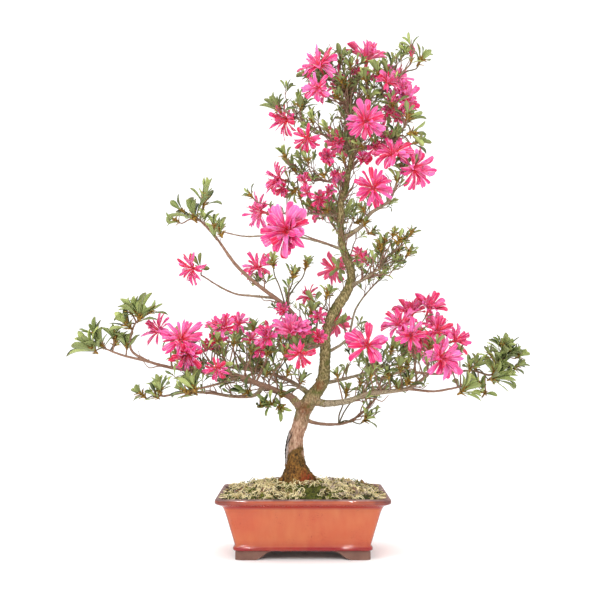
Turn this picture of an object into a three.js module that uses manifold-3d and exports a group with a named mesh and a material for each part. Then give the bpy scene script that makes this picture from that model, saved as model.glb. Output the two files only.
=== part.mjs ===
// Satsuki azalea bonsai in a flared rectangular pot. Millimetres, +Z up, +X right, +Y to the back.
// The tree grows from a mound of moss, leans right, doubles back and rises to a crowded apex. Strap-petalled
// blooms and whorls of small leaves stand at the tips of its twigs.
import * as THREE from 'three';
import { mergeVertices } from 'three/addons/utils/BufferGeometryUtils.js';
import Module from 'manifold-3d';

const wasm = await Module();
wasm.setup();

// Driving dimensions of the pot
const RIM_WIDTH = 240;
const RIM_DEPTH = 180;
const RIM_HEIGHT = 85;
const LIP_HEIGHT = 7.5;
const FOOT_HEIGHT = 12;
const FLOOR_TOP = 19;
const CORNER_RADIUS = 10;
const CAVITY_TOP = { halfX: 111, halfY: 81 };
const CAVITY_FLOOR = { halfX: 87, halfY: 57 };
const FOOT_WIDTH = { ground: 28, top: 51 };
const FOOT_DEPTH = { ground: 24, top: 36 };
const FOOT_WALL = 14;
const DRAIN_RADIUS = 11;
const DRAIN_SPREAD = 45;
const DRAIN_MESH = { length: 130, width: 40, thickness: 1.2 };

// Driving dimensions of what the pot holds
const CLEARANCE = 0.3;
const SOIL_EDGE = 76;
const SOIL_DOME = 17;
const MOSS_THICKNESS = 5;
const SPHAGNUM_THICKNESS = 6;
const ROOT_RIDGES = 5;

// Driving dimensions of the growth
const TWIG_RADIUS = { base: 1.7, tip: 1.2 };
const SHOOT_RADIUS = { base: 1.1, tip: 1.5 };
const SPUR_LENGTH = 8;
const LIMB_STEP = 42;
const TRUNK_STEPS = 26;
const PETAL = { widthRatio: 0.32, keel: 1.3, bend: 0.2 };
const LEAF = { widthRatio: 0.38, keel: 1.2, bend: 0.12 };
// Of the leaves that a whorl has, this share is modelled
const LEAF_SHARE = 0.46;
// How far along the way to its flowers a truss forks
const FORK_SHARE = 0.55;
const WELD = 0.12;

const v3 = (x, y, z) => new THREE.Vector3(x, y, z);
const point = (list) => v3(...list);
const UP = v3(0, 0, 1);

function seededRandom(seed) {
  let state = seed;
  return () => {
    state = (state * 1664525 + 1013904223) % 4294967296;
    return state / 4294967296;
  };
}

// ---- Solids ----

// A closed three.js geometry as a manifold solid, with its faces turned outwards.
function toSolid(geometry) {
  geometry.deleteAttribute('normal');
  geometry.deleteAttribute('uv');
  const merged = mergeVertices(geometry, 1e-4);
  const place = merged.attributes.position;
  const index = Array.from(merged.index.array);
  const corners = [v3(), v3(), v3()];
  let volume = 0;
  for (let i = 0; i < index.length; i += 3) {
    corners.forEach((corner, k) => corner.fromBufferAttribute(place, index[i + k]));
    volume += corners[0].dot(corners[1].cross(corners[2]));
  }
  const triVerts = Uint32Array.from(volume < 0 ? index.reverse() : index);
  const vertProperties = Float32Array.from(place.array);
  return new wasm.Manifold(new wasm.Mesh({ numProp: 3, vertProperties, triVerts, tolerance: WELD }));
}

function centreOf(ring) {
  const sum = ring.reduce((total, corner) => total.add(corner), v3());
  return sum.divideScalar(ring.length);
}

// A closed skin through rings of points: a cylinder's rows and columns are moved onto the rings.
function loft(rings, first = centreOf(rings[0]), last = centreOf(rings.at(-1))) {
  const sides = rings[0].length;
  const steps = rings.length - 1;
  const geometry = new THREE.CylinderGeometry(1, 1, 1, sides, steps);
  const place = geometry.attributes.position;
  const spot = v3();
  for (let i = 0; i < place.count; i++) {
    spot.fromBufferAttribute(place, i);
    const row = Math.round((0.5 - spot.y) * steps);
    const turn = Math.atan2(spot.x, spot.z) / (2 * Math.PI) + 1;
    const column = Math.round(turn * sides) % sides;
    const onAxis = Math.hypot(spot.x, spot.z) < 0.5;
    const pole = row === 0 ? first : last;
    const target = onAxis ? pole : rings[row][column];
    place.setXYZ(i, target.x, target.y, target.z);
  }
  return toSolid(geometry);
}

// A round stem along a smooth curve. radiusAt gives its radius at a share of its length and at a point.
function stem(points, radiusAt, sides, steps) {
  const curve = new THREE.CatmullRomCurve3(points);
  const frames = curve.computeFrenetFrames(steps, false);
  const rings = [];
  for (let k = 0; k <= steps; k++) {
    const centre = curve.getPointAt(k / steps);
    const ring = [];
    for (let i = 0; i < sides; i++) {
      const angle = (2 * Math.PI * i) / sides;
      const radius = radiusAt(k / steps, centre, angle);
      const offset = frames.normals[k].clone().multiplyScalar(radius * Math.cos(angle));
      offset.addScaledVector(frames.binormals[k], radius * Math.sin(angle));
      ring.push(offset.add(centre));
    }
    rings.push(ring);
  }
  return loft(rings);
}

const taper = (from, to) => (share) => from + (to - from) * share;

// A petal or leaf with a keel under it, from a pointed root to a pointed tip, bent back along its length.
// profile lists [share of length, share of width] at its two cross sections.
function blade({ root, along, face, length, width, keel, bend, profile }, grow = 0) {
  const side = along.clone().cross(face);
  const spot = (share, across, rise) => {
    const fall = bend * length * share * share;
    const target = root.clone().addScaledVector(along, length * share);
    return target.addScaledVector(face, rise - fall).addScaledVector(side, across);
  };
  const rings = profile.map(([share, wide]) => {
    const half = (width * wide) / 2 + grow;
    return [spot(share, -half, grow), spot(share, half, grow), spot(share, 0, -keel - grow)];
  });
  return loft(rings, root, spot(1 + grow / length, 0, 0));
}

// Points around a rectangle with round corners at one height.
function outline(halfX, halfY, corner, z, cornerSteps, sideSteps = 1) {
  const quarters = [[1, 1, 0], [-1, 1, 0.5], [-1, -1, 1], [1, -1, 1.5]];
  const arcs = quarters.map(([signX, signY, start]) => {
    const arc = [];
    for (let k = 0; k <= cornerSteps; k++) {
      const angle = (start + (0.5 * k) / cornerSteps) * Math.PI;
      const x = signX * (halfX - corner) + corner * Math.cos(angle);
      const y = signY * (halfY - corner) + corner * Math.sin(angle);
      arc.push(v3(x, y, z));
    }
    return arc;
  });
  return arcs.flatMap((arc, k) => {
    const next = arcs[(k + 1) % arcs.length][0];
    const between = [];
    for (let j = 1; j < sideSteps; j++) {
      between.push(arc.at(-1).clone().lerp(next, j / sideSteps));
    }
    return [...arc, ...between];
  });
}

function join(solids) {
  return solids.reduce((whole, solid) => whole.add(solid));
}

// ---- Pot and what fills it ----

function makePot() {
  // [height, half width]: beaded foot band, straight flaring wall, hollow neck and rounded lip
  const wall = [
    [FOOT_HEIGHT, 94], [13.5, 96], [18, 96], [20, 94.2], [45, 101], [70, 108], [74.5, 110.5],
    [RIM_HEIGHT - LIP_HEIGHT, 117.5], [79, RIM_WIDTH / 2], [83.5, RIM_WIDTH / 2], [RIM_HEIGHT, 118.8],
  ];
  const depthStep = (RIM_WIDTH - RIM_DEPTH) / 2;
  const body = loft(wall.map(([z, half]) => outline(half, half - depthStep, CORNER_RADIUS, z, 2)));
  const skirt = loft([outline(93, 63, 8, 0, 2), outline(93, 63, 8, FOOT_HEIGHT + 1, 2)]);
  const hollow = loft([
    outline(93 - FOOT_WALL, 63 - FOOT_WALL, 4, -1, 2),
    outline(93 - FOOT_WALL, 63 - FOOT_WALL, 4, FOOT_HEIGHT + 2, 2),
  ]);
  const frontArch = makeArch(93 - FOOT_WIDTH.ground, 93 - FOOT_WIDTH.top, RIM_DEPTH);
  const sideArch = makeArch(63 - FOOT_DEPTH.ground, 63 - FOOT_DEPTH.top, RIM_WIDTH, Math.PI / 2);
  const feet = skirt.subtract(hollow).subtract(frontArch).subtract(sideArch);
  let pot = body.add(feet).subtract(cavity(RIM_HEIGHT + 1, 0));
  for (const side of [-1, 1]) {
    pot = pot.subtract(drainHole(side * DRAIN_SPREAD));
  }
  return pot;
}

// The arch between two feet, right through the pot: wide at the ground, with curved shoulders.
function makeArch(halfGround, halfTop, through, turn = 0) {
  const profile = new THREE.Shape();
  profile.moveTo(-halfGround, -1);
  profile.lineTo(-halfGround, 0);
  profile.quadraticCurveTo(-halfGround + 2, FOOT_HEIGHT * 0.7, -halfTop, FOOT_HEIGHT + 2);
  profile.lineTo(halfTop, FOOT_HEIGHT + 2);
  profile.quadraticCurveTo(halfGround - 2, FOOT_HEIGHT * 0.7, halfGround, 0);
  profile.lineTo(halfGround, -1);
  const arch = new THREE.ExtrudeGeometry(profile, { depth: through, bevelEnabled: false, curveSegments: 3 });
  arch.translate(0, 0, -through / 2);
  arch.rotateX(Math.PI / 2);
  arch.rotateZ(turn);
  return toSolid(arch);
}

function cavityHalf(z) {
  const share = (z - FLOOR_TOP) / (RIM_HEIGHT - FLOOR_TOP);
  return {
    halfX: THREE.MathUtils.lerp(CAVITY_FLOOR.halfX, CAVITY_TOP.halfX, share),
    halfY: THREE.MathUtils.lerp(CAVITY_FLOOR.halfY, CAVITY_TOP.halfY, share),
  };
}

function cavityRing(z, inset, share = 1, sideSteps = 1) {
  const { halfX, halfY } = cavityHalf(z);
  const corner = (CORNER_RADIUS - 3) * share;
  return outline((halfX - inset) * share, (halfY - inset) * share, corner, z, 2, sideSteps);
}

function cavity(top, inset) {
  return loft([cavityRing(FLOOR_TOP, inset), cavityRing(top, inset)]);
}

function drainHole(x) {
  const length = 20;
  const hole = new THREE.CylinderGeometry(DRAIN_RADIUS, DRAIN_RADIUS, length, 14);
  hole.rotateX(Math.PI / 2);
  hole.translate(x, 0, FLOOR_TOP - length / 4);
  return toSolid(hole);
}

function plate({ length, width, thickness }, grow) {
  const box = new THREE.BoxGeometry(length + 2 * grow, width + 2 * grow, thickness + 2 * grow);
  box.translate(0, 0, FLOOR_TOP + CLEARANCE + thickness / 2);
  return toSolid(box);
}

// Height of the soil mound above the floor of the pot, by share of the way out from the middle.
function moundHeight(share) {
  return SOIL_EDGE + SOIL_DOME * (1 - share ** 2.4);
}

const MOUND_RINGS = [0.4, 0.75, 1];

// One surface of a layer of the mound, from the middle outwards. Gentle lumps die out at the edge.
function moundSurface(rise, lump) {
  return MOUND_RINGS.map((share) => {
    const height = moundHeight(share) + rise;
    const ring = cavityRing(Math.min(height, RIM_HEIGHT), CLEARANCE + 0.02, share, 3);
    return ring.map((corner) => {
      const wave = Math.sin(corner.x / 13) * Math.cos(corner.y / 11 + 1);
      return corner.setZ(height + lump * wave * (share < 1 ? 1 : 0.3));
    });
  });
}

function makeLayer(lower, upper, lump) {
  const under = moundSurface(lower, 0);
  const over = moundSurface(upper, lump).reverse();
  return loft([...under, ...over]);
}

function makeSoil(trunkFoot) {
  const bottom = cavityRing(FLOOR_TOP + CLEARANCE, CLEARANCE, 1, 3);
  const mound = moundSurface(0, 0).reverse();
  const soil = loft([bottom, ...mound]);
  return soil.subtract(plate(DRAIN_MESH, CLEARANCE)).subtract(trunkFoot);
}

// The pale dressing leaves the green moss bare in a bay at the front.
function makeSphagnum(trunkFoot) {
  const lower = MOSS_THICKNESS + 2 * CLEARANCE;
  const layer = makeLayer(lower, lower + SPHAGNUM_THICKNESS, 1.6);
  const bay = [60, 130].map((z) => {
    const corners = [[-26, -95], [-22, -50], [-6, -22], [22, -20], [44, -48], [50, -95]];
    return corners.map(([x, y]) => v3(x, y, z));
  });
  return layer.subtract(loft(bay)).subtract(trunkFoot);
}

// ---- Wood ----

// [x, y, z, radius] up the trunk, from the root ball in the soil to the apex
const TRUNK = [
  [-8, 0, 62, 25], [-8, 0, 84, 26], [-8, 0, 100, 26], [-9, 0, 108, 22], [-10, 0, 119, 16], [-10, 0, 141, 11.5],
  [-10, 1, 161, 11], [-3, 4, 185, 11], [3, 6, 202, 11.5], [11, 8, 216, 11], [28, 6, 240, 9.5], [32, 0, 271, 8],
  [34, -5, 313, 7], [41, -4, 335, 7.2], [54, 0, 356, 8], [67, 4, 378, 7.2], [71, 8, 400, 6], [65, 11, 421, 6],
  [58, 12, 443, 6], [56, 11, 465, 6], [56, 8, 487, 5.5], [56, 5, 508, 5.2], [62, 3, 522, 5], [66, 1, 544, 4.6],
  [74, -2, 579, 4.2], [72, -5, 617, 3.6], [71, -5, 646, 3], [70, -3, 672, 2],
];

// Branches: radius at the root, radius at the end, and the way they take
const LIMBS = {
  low_left: [6.5, 3.2, [[-1, 6, 203], [-18, 2, 220], [-34, -3, 227], [-59, -10, 237], [-94, -24, 250],
    [-137, -34, 256], [-189, -41, 263], [-224, -44, 273]]],
  low_left_rise: [2.8, 2, [[-220, -43, 272], [-240, -48, 287], [-236, -54, 320], [-224, -58, 334]]],
  low_left_end: [3, 2, [[-216, -42, 271], [-250, -50, 279], [-274, -56, 288]]],
  low_left_front: [2.6, 1.8, [[-92, -24, 249], [-117, -45, 240], [-145, -60, 233]]],
  low_left_back: [3.4, 1.8, [[-57, -10, 236], [-68, 2, 223], [-103, 18, 220], [-132, 30, 224],
    [-171, 42, 225], [-208, 50, 219]]],
  inner_left: [4, 2, [[13, 8, 221], [-5, 18, 234], [-23, 28, 244], [-55, 46, 254], [-106, 68, 261]]],
  rising_left: [4.4, 2, [[32, -3, 293], [8, -8, 315], [-25, -20, 350], [-62, -35, 378], [-93, -48, 405],
    [-123, -58, 446], [-144, -60, 468]]],
  arched_left: [2.6, 1.7, [[-38, -25, 361], [-75, -4, 366], [-96, 8, 369], [-119, 18, 379], [-146, 26, 396]]],
  thin_left: [2.6, 1.5, [[60, 12, 435], [21, 6, 447], [-29, 4, 456], [-85, 14, 455], [-120, 22, 463]]],
  low_right: [6, 2.6, [[13, 8, 217], [28, 2, 211], [63, -12, 214], [94, -25, 225], [124, -36, 229],
    [149, -44, 234], [174, -54, 252]]],
  low_right_end: [2.4, 1.7, [[146, -43, 233], [183, -38, 229], [222, -34, 235]]],
  under_right: [4.4, 2.4, [[-1, 5, 192], [13, 12, 183], [53, 28, 179], [76, 38, 186], [108, 52, 215],
    [120, 60, 249]]],
  far_right: [2.6, 1.8, [[119, 59, 244], [147, 64, 255], [203, 70, 252], [258, 72, 257], [288, 74, 251],
    [303, 78, 274]]],
  thin_right: [2.4, 1.5, [[33, -1, 282], [65, 24, 304], [81, 42, 352], [125, 58, 406]]],
  fan_right: [3, 1.8, [[68, 5, 381], [81, -8, 386], [110, -34, 403]]],
  rising_right: [4, 2, [[58, 12, 450], [86, -4, 468], [97, -14, 484], [122, -30, 499], [129, -36, 511],
    [136, -44, 532]]],
  crown_right: [2.8, 1.8, [[73, -2, 577], [100, -20, 582], [129, -38, 587], [146, -50, 606]]],
  apex_right: [2.8, 1.6, [[71, -5, 641], [98, -12, 656], [134, -22, 679], [156, -30, 700]]],
  crown_left: [2.8, 1.8, [[74, -2, 578], [45, 12, 598], [5, 22, 625], [-28, 28, 648]]],
  upper_left: [2.6, 1.7, [[64, 2, 532], [29, 22, 540], [-4, 32, 554]]],
  mid_left: [2.4, 1.7, [[56, 8, 484], [14, 24, 490], [-34, 36, 493]]],
  apex_left: [2.4, 1.6, [[71, -5, 652], [55, -4, 672], [36, -4, 690]]],
  back_crown: [2.8, 1.8, [[73, -4, 605], [78, 36, 628], [88, 74, 650]]],
  back_middle: [3, 1.8, [[56, 11, 462], [54, 50, 478], [66, 92, 500]]],
  back_left: [3.2, 1.8, [[33, -2, 300], [8, 46, 288], [-34, 98, 286]]],
  back_right: [3.2, 1.8, [[27, 6, 238], [84, 66, 250], [150, 112, 268]]],
};

function trunkRadius(centre, angle) {
  let k = 1;
  while (k < TRUNK.length - 1 && TRUNK[k][2] < centre.z) {
    k += 1;
  }
  const share = (centre.z - TRUNK[k - 1][2]) / (TRUNK[k][2] - TRUNK[k - 1][2]);
  const radius = THREE.MathUtils.lerp(TRUNK[k - 1][3], TRUNK[k][3], THREE.MathUtils.clamp(share, 0, 1));
  const flare = THREE.MathUtils.clamp((radius - 12) / 14, 0, 1);
  return radius * (1 + 0.14 * flare * Math.cos(ROOT_RIDGES * angle));
}

function makeTrunk(points, grow = 0) {
  const radiusAt = (share, centre, angle) => trunkRadius(centre, angle) + grow;
  return stem(points.map(([x, y, z]) => v3(x, y, z)), radiusAt, 8, TRUNK_STEPS);
}

function limbSteps(points) {
  return Math.max(3, Math.round(new THREE.CatmullRomCurve3(points).getLength() / LIMB_STEP));
}

function makeLimb([base, tip, points]) {
  const curve = points.map(point);
  return stem(curve, taper(base, tip), base > 4 ? 5 : 4, limbSteps(curve));
}

// A thin twig that leaves its branch and turns to the way its bloom or shoot faces.
function makeTwig(from, to, axis) {
  const bend = to.clone().addScaledVector(axis, -0.35 * from.distanceTo(to));
  return stem([from, bend, to], taper(TWIG_RADIUS.base, TWIG_RADIUS.tip), 3, 2);
}

// ---- Blooms and leafy shoots ----

// Each truss: its foot on the wood, then its flowers as [centre, way it faces, radius]
const TRUSSES = {
  bloom_apex_left: [
    [44, -4, 682],
    [[22, -32, 700], [-0.5, -0.5, 0.7], 28],
    [[18, -14, 667], [-0.5, -0.2, -0.8], 17],
  ],
  bloom_apex: [
    [70, -4, 664],
    [[95, 2, 720], [0.1, -0.3, 0.95], 34],
    [[62, 34, 686], [-0.2, 0.8, 0.5], 21],
  ],
  bloom_apex_right: [
    [112, -16, 665],
    [[142, 12, 692], [0.75, 0.3, 0.5], 20],
    [[150, -6, 654], [0.8, -0.3, -0.4], 19],
    [[127, 24, 640], [0.3, 0.8, -0.3], 16],
  ],
  bloom_crown_front: [[73, -4, 600], [[89, -62, 609], [0.05, -1, 0.05], 29]],
  bloom_crown_left: [[5, 22, 625], [[-28, 44, 636], [-0.85, 0.3, -0.2], 29]],
  bloom_crown_drop: [[24, 17, 612], [[5, -38, 588], [-0.3, -0.7, -0.6], 21]],
  bloom_upper_left: [[10, 28, 548], [[-38, 30, 543], [-0.95, -0.1, 0.1], 26]],
  bloom_mid_left: [[-34, 36, 493], [[-66, 42, 496], [-0.95, 0, 0.1], 25]],
  bloom_large: [[45, 10, 439], [[-24, -62, 453], [-0.3, -0.9, -0.15], 39]],
  bloom_below_large: [[-76, -41, 388], [[-66, -6, 411], [-0.2, 0.2, 0.9], 25]],
  bloom_arched_end: [[-146, 26, 396], [[-168, 30, 410], [-0.5, -0.3, 0.75], 25]],
  bloom_behind_bend: [
    [70, 8, 396],
    [[46, 56, 412], [-0.4, 0.9, 0.1], 26],
    [[86, 52, 430], [0.5, 0.7, 0.3], 16],
  ],
  bloom_inner: [[44, -3, 340], [[8, 26, 368], [-0.6, 0.5, 0.6], 19]],
  bloom_inner_front: [
    [32, -3, 292],
    [[-16, -46, 315], [-0.3, -0.5, 0.8], 27],
    [[-4, -60, 280], [0, -0.8, -0.5], 20],
  ],
  bloom_behind_trunk: [[34, -5, 316], [[50, 56, 330], [0.1, 0.95, 0.2], 24]],
  bloom_right_front: [[112, -32, 227], [[89, -68, 295], [-0.1, -0.95, 0.2], 31]],
  bloom_right_middle: [
    [158, -48, 239],
    [[137, -34, 325], [-0.3, -0.6, 0.7], 26],
    [[172, 0, 300], [0.5, 0.4, 0.6], 19],
  ],
  bloom_right_top: [
    [166, 66, 254],
    [[160, 26, 344], [-0.2, -0.2, 0.95], 28],
    [[203, 36, 322], [0.7, 0, 0.7], 22],
  ],
  bloom_right_outer: [[174, -54, 252], [[194, -66, 277], [0.4, -0.8, 0.2], 31]],
  bloom_left_outer: [
    [-182, -40, 262],
    [[-210, -18, 316], [-0.8, 0.3, 0.4], 24],
    [[-168, -68, 303], [0.1, -0.95, 0.2], 32],
  ],
  bloom_left_small: [
    [-98, 65, 260],
    [[-130, 40, 326], [-0.4, 0, 0.9], 14],
    [[-94, 28, 330], [0.1, -0.5, 0.8], 16],
  ],
  bloom_left_drop: [[-108, -28, 253], [[-119, -72, 260], [-0.2, -0.8, -0.5], 18]],
  bloom_shoulder: [
    [136, -44, 532],
    [[127, -62, 566], [-0.2, -0.6, 0.7], 24],
    [[161, -48, 543], [0.75, -0.3, -0.3], 28],
  ],
  bloom_shoulder_front: [[112, -24, 494], [[98, -66, 514], [-0.15, -0.95, 0.1], 28]],
  bloom_back_crown: [[80, 44, 632], [[62, 74, 612], [-0.3, 0.9, -0.2], 29]],
  bloom_back_middle: [[55, 56, 480], [[34, 88, 512], [-0.4, 0.8, 0.4], 27]],
  bloom_back_left: [[-34, 98, 286], [[-10, 122, 300], [0.3, 0.7, 0.6], 31]],
  bloom_back_right: [[150, 112, 268], [[178, 126, 292], [0.4, 0.6, 0.6], 31]],
};

// Each leafy shoot: its foot on the wood, then its whorls as [centre, leaves, leaf length]
const SHOOTS = {
  shoot_left_end: [[-274, -56, 288], [[-303, -58, 299], 9, 40], [[-262, -40, 310], 6, 27]],
  shoot_left_top: [[-224, -58, 334], [[-236, -58, 350], 9, 38], [[-250, -66, 330], 4, 26]],
  shoot_low_back: [[-208, 50, 219], [[-216, 48, 240], 7, 30], [[-250, 58, 228], 4, 26]],
  shoot_low_front: [[-145, -60, 233], [[-156, -62, 248], 8, 34], [[-172, -60, 236], 3, 26]],
  shoot_inner_left: [[-106, 68, 261], [[-128, 64, 300], 5, 24], [[-98, 72, 312], 4, 24],
    [[-74, 58, 328], 6, 27]],
  shoot_inner: [[-38, 36, 249], [[-54, 40, 300], 5, 25], [[-22, 14, 288], 6, 25], [[-68, 34, 276], 4, 24]],
  shoot_under_left: [[-34, -3, 227], [[-54, -22, 212], 5, 24], [[-30, -20, 202], 3, 20]],
  shoot_rising_end: [[-144, -60, 468], [[-158, -62, 486], 8, 38], [[-137, -58, 506], 5, 32]],
  shoot_thin_left: [[-120, 22, 463], [[-128, 24, 473], 6, 29]],
  shoot_sprigs_left: [[-25, -20, 350], [[-12, -26, 404], 4, 17], [[-44, -40, 420], 4, 17],
    [[8, -24, 418], 4, 17]],
  shoot_crown_left: [[-28, 28, 648], [[-44, 28, 660], 8, 31], [[4, 10, 660], 4, 24]],
  shoot_apex_left: [[36, -4, 690], [[2, 6, 700], 4, 25], [[36, 12, 712], 5, 28], [[60, -6, 726], 4, 28]],
  shoot_apex_right: [[134, -22, 679], [[118, -28, 700], 6, 28], [[166, -32, 716], 6, 31]],
  shoot_crown_low: [[146, -50, 606], [[150, -50, 630], 5, 25], [[166, -44, 596], 5, 25]],
  shoot_upper_left: [[-4, 32, 554], [[-18, 34, 568], 6, 27], [[-20, 44, 522], 4, 24]],
  shoot_fan: [[110, -34, 403], [[112, -30, 444], 4, 17], [[140, -36, 452], 4, 17],
    [[156, -42, 432], 4, 17]],
  shoot_right_end: [[303, 78, 274], [[308, 80, 290], 8, 34]],
  shoot_right_low: [[262, 72, 257], [[302, 66, 252], 8, 38], [[266, 74, 276], 4, 25]],
  shoot_right_under: [[222, -34, 235], [[236, -36, 238], 7, 34]],
  shoot_right_middle: [[134, -39, 230], [[150, -62, 252], 4, 24], [[120, -20, 262], 4, 24],
    [[150, -30, 274], 3, 24]],
  shoot_right_inner: [[53, 28, 179], [[98, 6, 194], 5, 22], [[66, 24, 236], 4, 22], [[88, 12, 250], 3, 22]],
  shoot_centre: [[8, -8, 315], [[14, -20, 352], 6, 25], [[38, -22, 376], 3, 22]],
  shoot_back_crown: [[88, 74, 650], [[94, 86, 664], 6, 29], [[62, 72, 668], 4, 26]],
  shoot_back_middle: [[66, 92, 500], [[70, 102, 512], 6, 28], [[98, 84, 492], 4, 26]],
  shoot_back_left: [[-20, 82, 286], [[-56, 104, 298], 6, 29], [[-40, 74, 318], 4, 26]],
  shoot_back_right: [[122, 93, 260], [[140, 84, 300], 5, 27], [[112, 112, 282], 5, 27]],
};

const obstacles = [];

// The solid kept with its box, so that what comes later is bent clear of it.
function keepClear(solid, owner) {
  obstacles.push({ solid, owner, box: solid.boundingBox() });
}

function boxesMeet(a, b) {
  return [0, 1, 2].every((axis) => a.min[axis] < b.max[axis] && b.min[axis] < a.max[axis]);
}

function isClear(solid, owner) {
  const box = solid.boundingBox();
  return obstacles.every((other) => {
    if (other.owner === owner || !boxesMeet(box, other.box)) {
      return true;
    }
    const shared = solid.intersect(other.solid);
    const clear = shared.isEmpty();
    shared.delete();
    return clear;
  });
}

// Two directions square to an axis.
function across(axis) {
  const helper = Math.abs(axis.z) < 0.9 ? UP : v3(1, 0, 0);
  const first = axis.clone().cross(helper).normalize();
  return [first, axis.clone().cross(first)];
}

// Blades round an axis, one for each root, opened by an angle and turned until clear of the neighbours.
// off sets each root out from the axis, and back starts its blade behind it.
function whorl({ owner, roots, axis, open, length, off, back, phase, random, ...form }) {
  const [first, second] = across(axis);
  const blades = [];
  roots.forEach((place, k) => {
    const turn = phase + (2 * Math.PI * k) / roots.length + 0.3 * (random() - 0.5);
    const spread = open * (0.88 + 0.24 * random());
    const size = length * (0.86 + 0.28 * random());
    for (const [shift, fold, shrink] of BLADE_TRIES) {
      const angle = turn + shift;
      const out = first.clone().multiplyScalar(Math.cos(angle)).addScaledVector(second, Math.sin(angle));
      const lean = spread + fold;
      const along = axis.clone().multiplyScalar(Math.cos(lean)).addScaledVector(out, Math.sin(lean));
      const face = axis.clone().multiplyScalar(Math.sin(lean)).addScaledVector(out, -Math.cos(lean));
      const root = place.clone().addScaledVector(out, off).addScaledVector(along, -back);
      const shape = { ...form, root, along, face, length: size * shrink };
      shape.width = shape.length * form.widthRatio;
      const grown = blade(shape, CLEARANCE);
      const clear = isClear(grown, owner);
      grown.delete();
      if (clear) {
        blades.push(blade(shape));
        break;
      }
    }
  });
  return blades;
}

// [turn, opening, size] tried in order before a blade is left out
const BLADE_TRIES = [
  [0, 0, 1], [0.2, 0, 1], [-0.2, 0, 1], [0, -0.25, 0.95], [0, 0.25, 0.95], [0.3, -0.3, 0.85], [-0.3, -0.3, 0.85],
  [0.3, 0.3, 0.8], [-0.3, 0.3, 0.8], [0, 0, 0.6],
];

const PETAL_PROFILE = [[0.42, 0.62], [0.8, 1]];
const LEAF_PROFILE = [[0.34, 0.86], [0.7, 1]];

// A flower: its stalk and tube, then an outer whorl laid open and an inner one half closed.
function makeFlower(owner, start, heading, { centre, axis, radius }, random) {
  const heart = centre.clone().addScaledVector(axis, -0.2 * radius);
  const radiusAt = (share) => TWIG_RADIUS.tip + (0.14 * radius - TWIG_RADIUS.tip) * share ** 2;
  const steps = start.distanceTo(heart) > 25 ? 3 : 2;
  const { solid } = clearWay({ owner, start, heading, end: heart, axis, radiusAt, steps });
  const total = 3 + Math.round(radius / 8);
  const outer = Math.ceil(total * 0.58);
  const petal = { owner, axis, ...PETAL, profile: PETAL_PROFILE, back: 1.6, off: 0.03 * radius, random };
  const phase = random() * Math.PI;
  const wideRoots = Array(outer).fill(heart.clone().addScaledVector(axis, -1.4));
  const wide = whorl({ ...petal, roots: wideRoots, open: 1.3, length: radius * 1.02, phase });
  const closedRoots = Array(total - outer).fill(heart.clone().addScaledVector(axis, -0.5));
  const closed = whorl({ ...petal, roots: closedRoots, open: 0.72, length: radius * 0.95, phase: phase + 0.5 });
  return [solid, ...wide, ...closed];
}

// A shoot: stems that part from one foot, each ending in a whorl of leaves.
function makeShoot(owner, foot, axis, whorls, random) {
  const pieces = [];
  whorls.forEach(([place, count, length], k) => {
    const centre = point(place);
    const start = foot.clone().addScaledVector(axis, CLEARANCE);
    const heading = centre.clone().sub(start).normalize().addScaledVector(UP, 0.5).normalize();
    const way = { owner, start, heading: axis, end: centre, axis: heading, steps: 2 };
    const { solid, last } = clearWay({ ...way, radiusAt: taper(SHOOT_RADIUS.base, SHOOT_RADIUS.tip) });
    pieces.push(solid);
    const roots = [];
    for (let j = 0; j < Math.max(2, Math.round(count * LEAF_SHARE)); j++) {
      roots.push(centre.clone().lerp(last, (1.2 + 1.3 * j) / last.distanceTo(centre)));
    }
    const leaf = { owner, roots, axis: heading, length, ...LEAF, profile: LEAF_PROFILE };
    pieces.push(...whorl({ ...leaf, open: 1.05, back: 1.2, off: 0, phase: 0.8 * k, random }));
  });
  return pieces;
}

// A thin stem that sets out one way and arrives another, bowed sideways, if need be, until it is clear of
// the neighbours. It comes with the start of its last stretch.
function clearWay({ owner, start, heading, end, axis, radiusAt, steps }) {
  const reach = start.distanceTo(end);
  const knee = start.clone().addScaledVector(heading, 0.3 * reach);
  const neck = end.clone().addScaledVector(axis, -0.3 * reach);
  const middle = knee.lerp(neck, 0.5);
  for (const bow of [0, 0.1, -0.1, 0.2, -0.2, 0.35, -0.35, 0.5, -0.5]) {
    for (const side of across(axis)) {
      for (const lift of [0, 0.4, 0.8]) {
        const from = start.clone().addScaledVector(heading, lift);
        const turn = middle.clone().addScaledVector(side, bow * reach);
        const solid = stem([from, turn, end], radiusAt, 3, steps);
        const ahead = from.clone().lerp(turn, Math.min(0.5, 2.5 / reach));
        const grown = stem([ahead, turn, end], (share) => radiusAt(share) + CLEARANCE, 3, steps);
        if (isClear(solid, owner) && isClear(grown, owner)) {
          const last = new THREE.CatmullRomCurve3([from, turn, end]).getPointAt(1 - 1 / steps);
          return { solid, last };
        }
      }
    }
  }
  throw new Error(`${owner} has no clear way for a stem`);
}

// ---- Assembly ----

const looks = {
  pot: { color: 0xd9744f, roughness: 0.22, metalness: 0 },
  drain_mesh: { color: 0x26282a, roughness: 0.6, metalness: 0 },
  soil: { color: 0x4a3a2c, roughness: 0.95, metalness: 0 },
  moss: { color: 0x5f7a2a, roughness: 0.95, metalness: 0 },
  sphagnum: { color: 0xcfc695, roughness: 0.95, metalness: 0 },
  trunk: { color: 0x8e8065, roughness: 0.9, metalness: 0 },
  bloom: { color: 0xf0408c, roughness: 0.55, metalness: 0 },
  shoot: { color: 0x6e8f45, roughness: 0.5, metalness: 0 },
};

const tree = new THREE.Group();

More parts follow.
